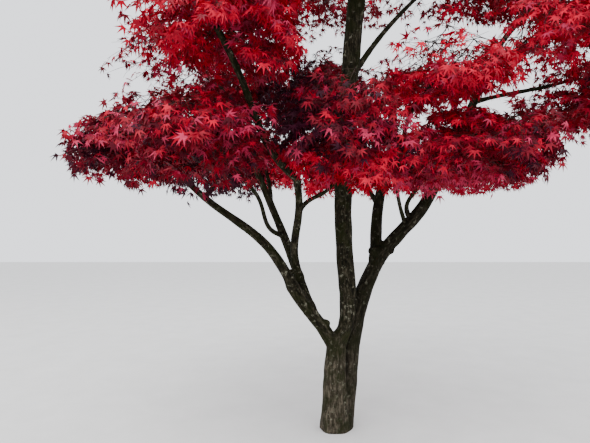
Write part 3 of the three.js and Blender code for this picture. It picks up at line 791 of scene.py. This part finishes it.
def roughen(points, normals, along, turn, radius, number, cleft):
    """Moves bark points in and out: long streaks, fine cracks, broad lumps and the cleft."""
    moved = points.copy()
    for i, (x, y, z) in enumerate(points):
        c, s = math.cos(turn[i]), math.sin(turn[i])
        ring = RELIEF_TURNS * (radius[i] / RELIEF_RADIUS) ** 0.5
        fine_ring = ring * FINE_TURNS
        k = number[i] * LIMB_SHIFT
        streak = noise_at(c * ring, s * ring, along[i] / STREAK_LENGTH + k)
        fine = noise_at(c * fine_ring, s * fine_ring, along[i] / FINE_LENGTH - k)
        lump = noise_at(x / LUMP_WIDTH, y / LUMP_WIDTH, z / LUMP_HEIGHT)
        push = RELIEF_STREAK * streak + RELIEF_FINE * fine + RELIEF_LUMP * lump
        share = min(1.0, radius[i] / RELIEF_RADIUS)
        moved[i] += normals[i] * (push * share - CLEFT_DEPTH * cleft[i])
    return moved


def flow_rows(turn, radius, along):
    """The bark's own coordinates, round the limb and along it."""
    return np.column_stack([np.cos(turn) * radius, np.sin(turn) * radius, along])


def build_bark(wood):
    """One mesh of thick skin and thin limbs, with its flow and painted shade in cleft and rear stem.
    """
    skin, normals, faces, names = thick_bark(wood)
    along, turn, radius, number, cleft = bark_places(skin, wood, names)
    points = [roughen(skin, normals, along, turn, radius, number, cleft)]
    flows = [flow_rows(turn, radius, along)]
    rear = [k for k, name in enumerate(names) if name in REAR_HALF]
    # Painted shade: the cleft, and the rear stem with its limbs
    shade = np.maximum(cleft, REAR_SHADE * np.isin(number, rear))
    for k, name in enumerate(LIMBS):
        if name in names:
            continue
        path, radii, ways = fine_limb(name, wood)
        wobble = [noise_at(x, y, z + k) for x, y, z in path / WOBBLE_SIZE]
        radii = radii * (1 + WOBBLE * np.array(wobble))
        add_tube(points, faces, limb_rings(Limb(path, radii, ways), THIN_SIDES))
        turns = np.tile(turns_round(THIN_SIDES), len(path))
        rows = np.repeat(np.array([radii, lengths_along(path)]), THIN_SIDES, axis=1)
        flows.append(flow_rows(turns, *rows))
    points = np.concatenate(points)
    points[:, 2] = np.maximum(points[:, 2], 0)
    points[:len(skin)][skin[:, 2] < ON_GROUND, 2] = 0
    bark = mesh_object("bark", points, faces)
    flow = bark.data.attributes.new("flow", "FLOAT_VECTOR", "POINT")
    flow.data.foreach_set("vector", (np.concatenate(flows) * METRES).ravel())
    # The painted shade, stored under the attribute name cleft
    darker = bark.data.attributes.new("cleft", "FLOAT", "POINT")
    darker.data.foreach_set("value", np.pad(shade, (0, len(points) - len(shade))))
    return bark


# Twigs of a mass: how far they bow and sag, their least radius at the foot, and what
# the stem keeps of its radii
TWIG_SIDES = 3
TWIG_HINT = (0.31, 0.22, 0.93)
TWIG_BOW = 0.07
TWIG_SAG = 0.8
TWIG_STEPS = (0, 0.25, 0.5, 0.75, 1)
TWIG_LEAST = 3.36
STEM_LAP = 3
STEM_STEPS = (0.33, 0.67, 1)
STEM_SHARES = (0.97, 1, 1, 0.8, 0.8, 0.5)

# Branches of a spray: turn, reach and foot on the spray's middle line
SPRAY_BRANCHES = (
    (0, 1.0, 0.0), (41, 0.9, 0.16), (-41, 0.9, 0.2), (86, 0.62, 0.05), (-86, 0.62, 0.08))
BRANCH_SWING = 10
BRANCH_REACH = (0.86, 0.98)
BRANCH_BEND = (0.1, 0, 0.03)
BRANCH_STEPS = (0, 0.34, 0.67, 1)
SIDE_RADIUS = 2.1
SHORT_SHARE = 0.6
BRANCH_SHARES = (1, 0.8, 0.62)
BRANCH_TIP = 0.9

# Nodes along a branch, side twigs with their pair of leaves, and the leaves at its end
NODE_STEP = 50
FIRST_NODE = 0.28
NODE_JITTER = 0.3
NODE_LIFT = 0.7
END_LEAVES = (-0.7, 0.1, 0.8)
TWIGLET = (38, 82)
TWIGLET_RADII = (1.3, 0.8)
TWIGLET_DROP = 0.2
TWIGLET_PAIR = ((1, 0.55), (-1, 0.6))
PAIR_ASIDE = 0.8
PAIR_AHEAD = 0.5

# Single leaf: its size, its stalk, and how it points outward, hangs, tilts and strays
LEAF_SIZE = 53
LEAF_SIZE_RANGE = (0.7, 1.2)
PETIOLE = 26
PETIOLE_RANGE = (0.6, 1.4)
PETIOLE_DROP = 0.25
PETIOLE_HALF = 0.8
LEAF_OUT = 0.8
LEAF_STRAY = 0.7
LEAF_HANG = (0.2, 0.8)
FACE_OUT = 0.5
FACE_UP = 0.45
FACE_STRAY = 1.3

# Leaves with seven and with five lobes: the angles of the lobes and of the notches
# between them, with their reach from the stalk
LEAF_KINDS = (
    (((0, 1.0), (37, 0.95), (78, 0.76), (124, 0.46)), ((18, 0.35), (57, 0.30), (101, 0.22))),
    (((0, 1.0), (42, 0.92), (94, 0.66)), ((21, 0.32), (68, 0.26))),
)
LEAF_CURLS = (0.06, 0.16, 0.28, 0.4)
NOTCH_LIFT = 0.05

# Airy places of the crown in the photograph: left, top, right and bottom in its
# pixels, and the share of the leaves that is kept there
AIRY = (
    (60, -60, 150, 92, 0.34),
    (150, -60, 172, 60, 0.6),
    (300, -60, 345, 62, 0.35),
    (345, -60, 372, 80, 0.35),
    (372, -20, 395, 76, 0.22),
    (395, -20, 440, 70, 0.13),
    (440, 16, 480, 58, 0.13),
    (480, 16, 508, 44, 0.2),
    (508, 16, 560, 40, 0.35),
    (480, 44, 590, 110, 0.7),
    (537, 162, 590, 210, 0.12),
)
# Painted shade and painted light: darker and brighter places of the crown in the photograph, in the
# same way
PAINTED_LIGHT_ZONES = (
    (262, 96, 338, 138, -0.45),
    (262, 138, 420, 215, 0.75),
    (360, 60, 470, 104, 0.4),
    (372, 20, 425, 66, -0.3),
    (40, 168, 260, 210, -0.25),
    (420, 104, 520, 200, 0.25),
)

# Limbs that show in front of the crown, seen from where the photograph was taken,
# and the part of each that is bare
BARE_LIMBS = (
    ("front_limb", 0, 1),
    ("front_small_limb", 0, 1),
    ("front_upper_limb", 0, 0.2),
    ("front_upper_limb", 0.68, 1),
)
BARE_WIDTH = 40

# Leaf colours, from dark to bright and then pink, and how they are dealt out
TINTS = {
    "plum": (0.036, 0.003, 0.012),
    "maroon": (0.075, 0.001, 0.008),
    "garnet": (0.155, 0.001, 0.010),
    "crimson": (0.280, 0.001, 0.014),
    "scarlet": (0.490, 0.001, 0.024),
    # Pink: partly the leaves' own colour, partly a painted highlight, dealt by each mass's share of
    # pink
    "rose": (0.380, 0.020, 0.062),
}
TINT_ORDER = list(TINTS)[:-1]
TINT_STEPS = (0.2, 0.4, 0.6, 0.8)
TINT_LOWEST = -0.2
# How much brighter a spray is dealt toward the top of its mass: painted light above, painted shade
# below
TOP_LIGHT_RISE = 0.38
TINT_SPREAD = 0.3
PINK_STEP = 2
PINK_HIGHLIGHT_RISE = 1.4
LEAF_CHANGE = 0.5
PINK_HIGHLIGHT_CHANCE = 0.14
BRIGHTER_CHANCE = 0.5
NEXT_CHANCE = 0.7
LOOK_SEED = 500


def zone_value(point, zones, otherwise):
    """The value of the first zone of the photograph that a point falls in."""
    x, y, z = (float(point[k] - VIEWER[k]) for k in range(3))
    pitch = math.radians(CAMERA_PITCH - 90)
    depth = y * math.cos(pitch) + z * math.sin(pitch)
    lift = z * math.cos(pitch) - y * math.sin(pitch)
    across = PHOTO_MIDDLE[0] + FOCUS * x / depth
    down = PHOTO_MIDDLE[1] - FOCUS * lift / depth
    for left, top, right, bottom, value in zones:
        if left < across < right and top < down < bottom:
            return value
    return otherwise


def spray_tint(brightness, pink, height, rnd):
    # Painted light and shade: a spray higher in its mass gets a brighter tint, a lower one a darker
    # tint
    value = brightness + TINT_LOWEST + TOP_LIGHT_RISE * height + (rnd() - 0.5) * TINT_SPREAD
    step = sum(value > limit for limit in TINT_STEPS)
    # Pink more often high in a mass: partly a painted highlight on the tops
    if step >= PINK_STEP and rnd() < pink * height * PINK_HIGHLIGHT_RISE:
        return "rose"
    return TINT_ORDER[step]


def leaf_tint(tint, rnd):
    if rnd() > LEAF_CHANGE:
        return tint
    if tint == "rose":
        return "crimson"
    # A leaf turned pink: partly its own colour, partly a painted highlight
    if rnd() < PINK_HIGHLIGHT_CHANCE:
        return "rose"
    sign = 1 if rnd() < BRIGHTER_CHANCE else -1
    step = TINT_ORDER.index(tint) + sign * (1 if rnd() < NEXT_CHANCE else 2)
    return TINT_ORDER[max(0, min(len(TINT_ORDER) - 1, step))]


def put_leaf(growth, node, out, normal, tint, rnd):
    """One leaf, hanging from its stalk and turned a little its own way."""
    stalk = PETIOLE * mix(*PETIOLE_RANGE, rnd())
    base = node + out * stalk - UP * (PETIOLE_DROP * stalk)
    stray = Vector((rnd() - 0.5, rnd() - 0.5, rnd() - 0.5))
    ahead = (out * LEAF_OUT + stray * LEAF_STRAY - UP * mix(*LEAF_HANG, rnd())).normalized()
    over = normal * FACE_OUT + UP * FACE_UP + stray.yzx * FACE_STRAY
    over = (over - ahead * over.dot(ahead)).normalized()
    size = LEAF_SIZE * mix(*LEAF_SIZE_RANGE, rnd())
    growth.leaves[leaf_tint(tint, rnd)].append((*node, *base, *ahead, *over, size))


def put_twiglet(growth, node, out, normal, tint, rnd):
    """A short side twig with a pair of leaves and one at its end."""
    reach = mix(*TWIGLET, rnd())
    tip = node + out * reach - UP * (TWIGLET_DROP * reach)
    growth.lines[2].append(([node, tip], TWIGLET_RADII))
    side = normal.cross(out).normalized()
    for sign, at in TWIGLET_PAIR:
        aside = (side * PAIR_ASIDE * sign + out * PAIR_AHEAD).normalized()
        put_leaf(growth, node.lerp(tip, at), aside, normal, tint, rnd)
    put_leaf(growth, tip, out, normal, tint, rnd)


# What grows at even and at odd nodes of a branch, and how far it points aside and ahead
NODE_KINDS = ((put_twiglet, 0.72, 0.62), (put_leaf, 0.85, 0.45))


def dress_branch(growth, points, normal, tint, keep, rnd):
    """Leaves in opposite pairs along a branch of a spray, and short twigs at every other node."""
    lengths = [0]
    for a, b in zip(points, points[1:]):
        lengths.append(lengths[-1] + (b - a).length)
    nodes = max(2, round(lengths[-1] / NODE_STEP))
    for k in range(nodes):
        share = FIRST_NODE + (1 - FIRST_NODE) * (k + NODE_JITTER * rnd()) / nodes
        s = lengths[-1] * share
        i = max(j for j in range(len(points) - 1) if lengths[j] <= s)
        node = points[i].lerp(points[i + 1], (s - lengths[i]) / (lengths[i + 1] - lengths[i]))
        way = (points[i + 1] - points[i]).normalized()
        side = normal.cross(way).normalized()
        put, aside, ahead = NODE_KINDS[k % 2]
        here = keep * zone_value(node, AIRY, 1)
        for sign in (1, -1):
            if rnd() <= here:
                lift = normal * (rnd() - 0.5) * NODE_LIFT
                out = (side * aside * sign + way * ahead + lift).normalized()
                put(growth, node, out, normal, tint, rnd)
    way = (points[-1] - points[-2]).normalized()
    side = normal.cross(way).normalized()
    here = keep * zone_value(points[-1], AIRY, 1)
    for aside in END_LEAVES:
        if rnd() <= here:
            put_leaf(growth, points[-1], (way + side * aside).normalized(), normal, tint, rnd)


def draw_spray(growth, spray, tint, keep, rnd):
    """The fan of twigs that stands for a large leaf, out to the tips of its lobes."""
    normal = Vector(spray.axes[2])
    scale = mix(SHORT_SHARE, 1, spray.length / SPRAY_LENGTH)
    for degrees, reach, at in SPRAY_BRANCHES:
        turn = degrees + (rnd() - 0.5) * BRANCH_SWING
        reach = reach * mix(*BRANCH_REACH, rnd())
        if degrees == 0:
            steps = [leaf_local(turn * t, reach * t) for t in BRANCH_STEPS]
        else:
            bend = vec(BRANCH_BEND) * (abs(degrees) / LOBES[-1][0])
            ends = leaf_local(0, at), leaf_local(turn, reach)
            steps = [bowed(*ends, bend, t) for t in BRANCH_STEPS]
        points = [Vector(spray.place(step)) for step in steps]
        thick = (STALK_RADIUS if degrees == 0 else SIDE_RADIUS) * scale
        radii = [*(thick * share for share in BRANCH_SHARES), BRANCH_TIP]
        growth.lines[len(points)].append((points, radii))
        dress_branch(growth, points, normal, tint, keep, rnd)


def draw_mass(growth, name, index, wood, pieces):
    """The stem, the twigs and the dressed sprays of one mass."""
    _, centre, size, _, _, brightness, pink = MASSES[name]
    mass = grow_mass(name, index, wood, pieces)
    rnd = random.Random(LOOK_SEED + index).random
    low, high = mass.twigs[:2]
    path = [low.a - unit(low.b - low.a) * STEM_LAP, mix(low.a, low.b, 0.5), low.b]
    path += [mix(high.a, high.b, t) for t in STEM_STEPS]
    foot, middle, tip = low.radii[0], high.radii[0], high.radii[1]
    radii = vec([foot, (foot + middle) / 2, middle, middle, tip, tip]) * STEM_SHARES
    growth.lines[len(path)].append((path, radii))
    keep = FULLNESS.get(name, (1, 1))[1]
    curves = {twig: (twig.a, twig.b, np.zeros(3)) for twig in (low, high)}
    for twig, spray in zip(mass.twigs[2:], mass.sprays):
        parent, at = twig.parent
        start = bowed(*curves[parent], at)
        bend = vec((rnd() - 0.5, rnd() - 0.5, -rnd() * TWIG_SAG)) * TWIG_BOW
        curves[twig] = (start, spray.base, bend * norm(spray.base - start))
        points = [bowed(*curves[twig], t) for t in TWIG_STEPS]
        radii = [mix(max(twig.radii[0], TWIG_LEAST), STALK_RADIUS, t) for t in TWIG_STEPS]
        growth.lines[len(points)].append((points, radii))
        # How high the spray sits in its mass, for painted light on top and painted shade below
        height = (1 + (spray.middle[2] - centre[2]) / size[2]) / 2
        # Painted shade or painted light of the zone where the spray's middle falls
        shade = zone_value(spray.middle, PAINTED_LIGHT_ZONES, 0)
        draw_spray(growth, spray, spray_tint(brightness + shade, pink, height, rnd), keep, rnd)


def build_twigs(growth):
    """Every twig as a tapering tube with few sides, all in one mesh."""
    points, faces, count = [], [], 0
    corners = np.arange(TWIG_SIDES)
    following = (corners + 1) % TWIG_SIDES
    quad = np.stack([corners, following, TWIG_SIDES + following, TWIG_SIDES + corners], axis=-1)
    for steps, rows in growth.lines.items():
        path, radii = (vec(column) for column in zip(*rows))
        ways = tangents(path)
        across = np.cross(ways, TWIG_HINT)
        across /= norm(across, axis=2)[..., None]
        rings = unit_rings(across, np.cross(ways, across), TWIG_SIDES) * radii[..., None, None]
        points.append((path[:, :, None] + rings).reshape(-1, 3))
        for i in range(steps - 1):
            lower = (np.arange(len(rows)) * steps + i) * TWIG_SIDES + count
            faces.append((lower[:, None, None] + quad).reshape(-1, 4))
        count += len(rows) * steps * TWIG_SIDES
    return mesh_object("twigs", np.concatenate(points), np.concatenate(faces).tolist())


def leaf_shapes(lobes, notches):
    """The leaf's outline round its stalk, one for each curl, notches lifted over lobes."""
    rim = both_sides(lobes, notches)
    raised = [(abs(degrees), reach) in notches for degrees, reach in rim]
    degrees, reach = vec(rim).T
    turn = np.radians(degrees)
    shapes = []
    for curl in LEAF_CURLS:
        lift = np.where(raised, NOTCH_LIFT, -curl * reach * reach)
        outline = np.column_stack([reach * np.cos(turn), reach * np.sin(turn), lift])
        shapes.append(np.vstack([np.zeros(3), outline]))
    return np.array(shapes)


def over_bare_limbs(spots, wood):
    """Which leaves stand between the limbs kept bare and the viewer."""
    hidden = np.zeros(len(spots), dtype=bool)
    for name, first, last in BARE_LIMBS:
        path = fine_limb(name, wood).path
        for spot in path[int(first * len(path)):math.ceil(last * len(path)):2]:
            toward = unit(VIEWER - spot)
            ahead = (spots - spot) @ toward
            aside = norm(spots - spot - ahead[:, None] * toward, axis=1)
            hidden |= (ahead > 0) & (aside < BARE_WIDTH)
    return hidden


def leaf_blades(rows, shapes):
    """The points of every leaf: its stalk's foot, its outline and its stalk's two ends."""
    node, base, ahead, normal, size = np.split(rows, (3, 6, 9, 12), axis=1)
    side = np.cross(normal, ahead)
    shape = shapes[np.arange(len(rows)) % len(shapes)]
    blade = base[:, None] + shape @ np.stack([ahead, side, normal], axis=1) * size[:, None]
    stalk = np.stack([node + side * PETIOLE_HALF, node - side * PETIOLE_HALF], axis=1)
    return np.concatenate([blade, stalk], axis=1)


def build_leaves(growth, wood):
    """One mesh for each colour and kind of leaf."""
    for tint in sorted(growth.leaves):
        rows = np.array(growth.leaves[tint])
        rows = rows[~over_bare_limbs(rows[:, 3:6], wood)]
        for number, kind in enumerate(LEAF_KINDS):
            shapes = leaf_shapes(*kind)
            corners = shapes.shape[1]
            fan = [(0, i + 1, i) for i in range(1, corners - 1)] + [(0, corners, corners + 1)]
            points = leaf_blades(rows[number::len(LEAF_KINDS)], shapes)
            firsts = np.arange(len(points)) * (corners + 2)
            faces = np.array(fan) + firsts[:, None, None]
            faces = faces.reshape(-1, 3).tolist()
            yield mesh_object(f"{tint}_leaves_{number + 1}", points.reshape(-1, 3), faces), tint


# Colours of the materials, as places on their noise with the colour or amount there;
# the bark's change of colour lies between two heights in metres
BLACK = (0, 0, 0)
BARK_HIGH = (
    (0.4, (0.002, 0.002, 0.001)), (0.51, (0.013, 0.011, 0.006)), (0.62, (0.052, 0.046, 0.030)))
BARK_LOW = (
    (0.38, (0.011, 0.009, 0.005)), (0.5, (0.037, 0.031, 0.021)), (0.62, (0.105, 0.088, 0.063)))
BARK_RISE = {"From Min": 0.35, "From Max": 0.75}
BARK_STRETCH = (1, 1, 0.3)
LICHEN = (0.15, 0.145, 0.105)
LICHEN_AMOUNT = ((0.59, BLACK), (0.66, (0.8, 0.8, 0.8)))
GREEN = (0.010, 0.012, 0.003)
GREEN_AMOUNT = ((0.46, BLACK), (0.6, (0.75, 0.75, 0.75)))
# Near-black painted shade for the cleft and the rear stem with its limbs
CLEFT_SHADE_COLOUR = (0.004, 0.003, 0.002)
TWIG_COLOURS = (
    (0.35, (0.010, 0.006, 0.004)), (0.55, (0.026, 0.014, 0.009)), (0.75, (0.06, 0.038, 0.026)))
LEAF_SHARES = ((0.32, 0.62), (0.5, 1), (0.7, 1.4))
FLOOR_COLOURS = ((0.3, (0.66, 0.65, 0.63)), (0.7, (0.72, 0.71, 0.69)))


class Surface:
    """A material made of nodes, with its plain values on the shader's own sockets."""

    def __init__(self, name):
        self.material = bpy.data.materials.new(name)
        self.material.use_nodes = True
        self.tree = self.material.node_tree
        self.place = self.node("TexCoord").outputs["Object"]

    def feed(self, socket, value):
        """Links a socket to another one or gives it a plain value."""
        if isinstance(value, bpy.types.NodeSocket):
            self.tree.links.new(value, socket)
        else:
            socket.default_value = (*value, 1) if socket.type == "RGBA" else value

    def node(self, kind, **inputs):
        """A new node; an input's name is given with its blanks as underlines."""
        node = self.tree.nodes.new(f"ShaderNode{kind}")
        for name, value in inputs.items():
            self.feed(node.inputs[name.replace("_", " ")], value)
        return node

    def noise(self, vector, scale, detail, roughness=0.6):
        node = self.node("TexNoise", Vector=vector, Scale=scale, Detail=detail, Roughness=roughness)
        return node.outputs["Fac"]

    def ramp(self, factor, stops):
        node = self.node("ValToRGB", Fac=factor)
        elements = node.color_ramp.elements
        while len(elements) < len(stops):
            elements.new(0.5)
        for element, (position, colour) in zip(elements, stops):
            element.position = position
            element.color = (*colour, 1)
        return node.outputs["Color"]

    def mixed(self, factor, first, second):
        node = self.tree.nodes.new("ShaderNodeMix")
        node.data_type = "RGBA"
        self.feed(node.inputs["Factor"], factor)
        colours = [socket for socket in node.inputs if socket.type == "RGBA"]
        for socket, value in zip(colours, (first, second)):
            self.feed(socket, value)
        return next(socket for socket in node.outputs if socket.type == "RGBA")

    def attribute(self, name, output):
        node = self.node("Attribute")
        node.attribute_name = name
        return node.outputs[output]

    def bump(self, height, strength, distance):
        node = self.node("Bump", Height=height, Strength=strength, Distance=distance)
        return node.outputs["Normal"]

    def finish(self, **inputs):
        """Feeds the shader and gives the finished material."""
        shader = self.tree.nodes["Principled BSDF"]
        for name, value in inputs.items():
            self.feed(shader.inputs[name.replace("_", " ")], value)
        return self.material


def leaf_material(tint, colour):
    """One leaf colour, lighter and darker in patches, with a fine mottle."""
    leaf = Surface(f"leaf_{tint}")
    stops = [(at, tuple(min(1, c * share) for c in colour)) for at, share in LEAF_SHARES]
    shade = leaf.ramp(leaf.noise(leaf.place, scale=16, detail=3), stops)
    mottle = leaf.bump(leaf.noise(leaf.place, scale=260, detail=3), strength=0.25, distance=0.001)
    return leaf.finish(Base_Color=shade, Normal=mottle, Roughness=0.5, Specular_IOR_Level=0.12)


def bark_material():
    """Grey-brown bark, darker higher up, with long pale streaks, lichen, green patches and painted
    shade.
    """
    bark = Surface("bark")
    flow = bark.attribute("flow", "Vector")
    long_way = bark.node("Mapping", Vector=flow, Scale=BARK_STRETCH).outputs["Vector"]
    streaks = bark.noise(long_way, scale=58, detail=8, roughness=0.8)
    low, high = (bark.ramp(streaks, stops) for stops in (BARK_LOW, BARK_HIGH))
    upward = bark.node("SeparateXYZ", Vector=bark.place).outputs["Z"]
    rise = bark.node("MapRange", Value=upward, **BARK_RISE).outputs["Result"]
    colour = bark.mixed(rise, low, high)
    specks = bark.ramp(bark.noise(bark.place, scale=34, detail=7), LICHEN_AMOUNT)
    colour = bark.mixed(specks, colour, LICHEN)
    patches = bark.ramp(bark.noise(bark.place, scale=9, detail=5), GREEN_AMOUNT)
    colour = bark.mixed(patches, colour, GREEN)
    # Painted shade in the cleft and on the rear stem with its limbs
    colour = bark.mixed(bark.attribute("cleft", "Fac"), colour, CLEFT_SHADE_COLOUR)
    cracks = bark.bump(bark.noise(long_way, scale=190, detail=5), strength=0.7, distance=0.004)
    return bark.finish(Base_Color=colour, Normal=cracks, Roughness=0.85, Specular_IOR_Level=0.06)


def twig_material():
    """Fine twigs: dark brown bark, paler in patches."""
    twig = Surface("twig")
    shade = twig.ramp(twig.noise(twig.place, scale=30, detail=4), TWIG_COLOURS)
    grain = twig.bump(twig.noise(twig.place, scale=300, detail=2), strength=0.3, distance=0.001)
    return twig.finish(Base_Color=shade, Normal=grain, Roughness=0.65, Specular_IOR_Level=0.15)


def floor_material():
    floor = Surface("floor")
    shade = floor.ramp(floor.noise(floor.place, scale=3, detail=4), FLOOR_COLOURS)
    return floor.finish(Base_Color=shade, Roughness=0.9)


# Floor, and soft light: each lamp's place and size in metres and its power
FLOOR_SIZE = 60000
SKY = (0.93, 0.95, 1.0)
SKY_STRENGTH = 1.9
LAMPS = (
    ((-4.0, -4.5, 8.0), 7.0, 820),
    ((5.0, -2.5, 6.5), 5.0, 220),
)
LAMP_AIM = (0.2, 0.0, 2.2)


def make_stage():
    data = bpy.data.cameras.new("camera")
    data.lens = LENS
    data.sensor_width = SENSOR_WIDTH
    camera = new_object("camera", data)
    camera.location = CAMERA_PLACE
    camera.rotation_euler = (math.radians(CAMERA_PITCH), 0, 0)
    bpy.context.scene.camera = camera
    corners = vec([(-1, -1, 0), (1, -1, 0), (1, 1, 0), (-1, 1, 0)]) * FLOOR_SIZE / 2
    floor_object = mesh_object("floor", corners, [(0, 1, 2, 3)])
    floor_object.data.materials.append(floor_material())
    world = bpy.data.worlds.new("sky")
    world.use_nodes = True
    background = world.node_tree.nodes["Background"]
    background.inputs["Color"].default_value = (*SKY, 1)
    background.inputs["Strength"].default_value = SKY_STRENGTH
    bpy.context.scene.world = world
    for k, (place, size, power) in enumerate(LAMPS):
        light = bpy.data.lights.new(f"lamp_{k}", "AREA")
        light.size = size
        light.energy = power
        lamp = new_object(f"lamp_{k}", light)
        lamp.location = place
        aim = Vector(LAMP_AIM) - Vector(place)
        lamp.rotation_euler = aim.to_track_quat("-Z", "Y").to_euler()


make_stage()
wood = grow_wood()
pieces = wood_pieces(wood)
growth = Growth(defaultdict(list), defaultdict(list))
for number, mass in enumerate(MASSES):
    draw_mass(growth, mass, number, wood, pieces)

bark = build_bark(wood)
bark.data.materials.append(bark_material())
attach(bark, "root")
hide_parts("trunk", *LIMBS)

twigs = build_twigs(growth)
twigs.data.materials.append(twig_material())
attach(twigs, "root")
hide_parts(*MASSES)

leaf_materials = {tint: leaf_material(tint, colour) for tint, colour in TINTS.items()}
for piece, tint in build_leaves(growth, wood):
    piece.data.materials.append(leaf_materials[tint])
    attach(piece, "root")
    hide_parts(*MASSES)
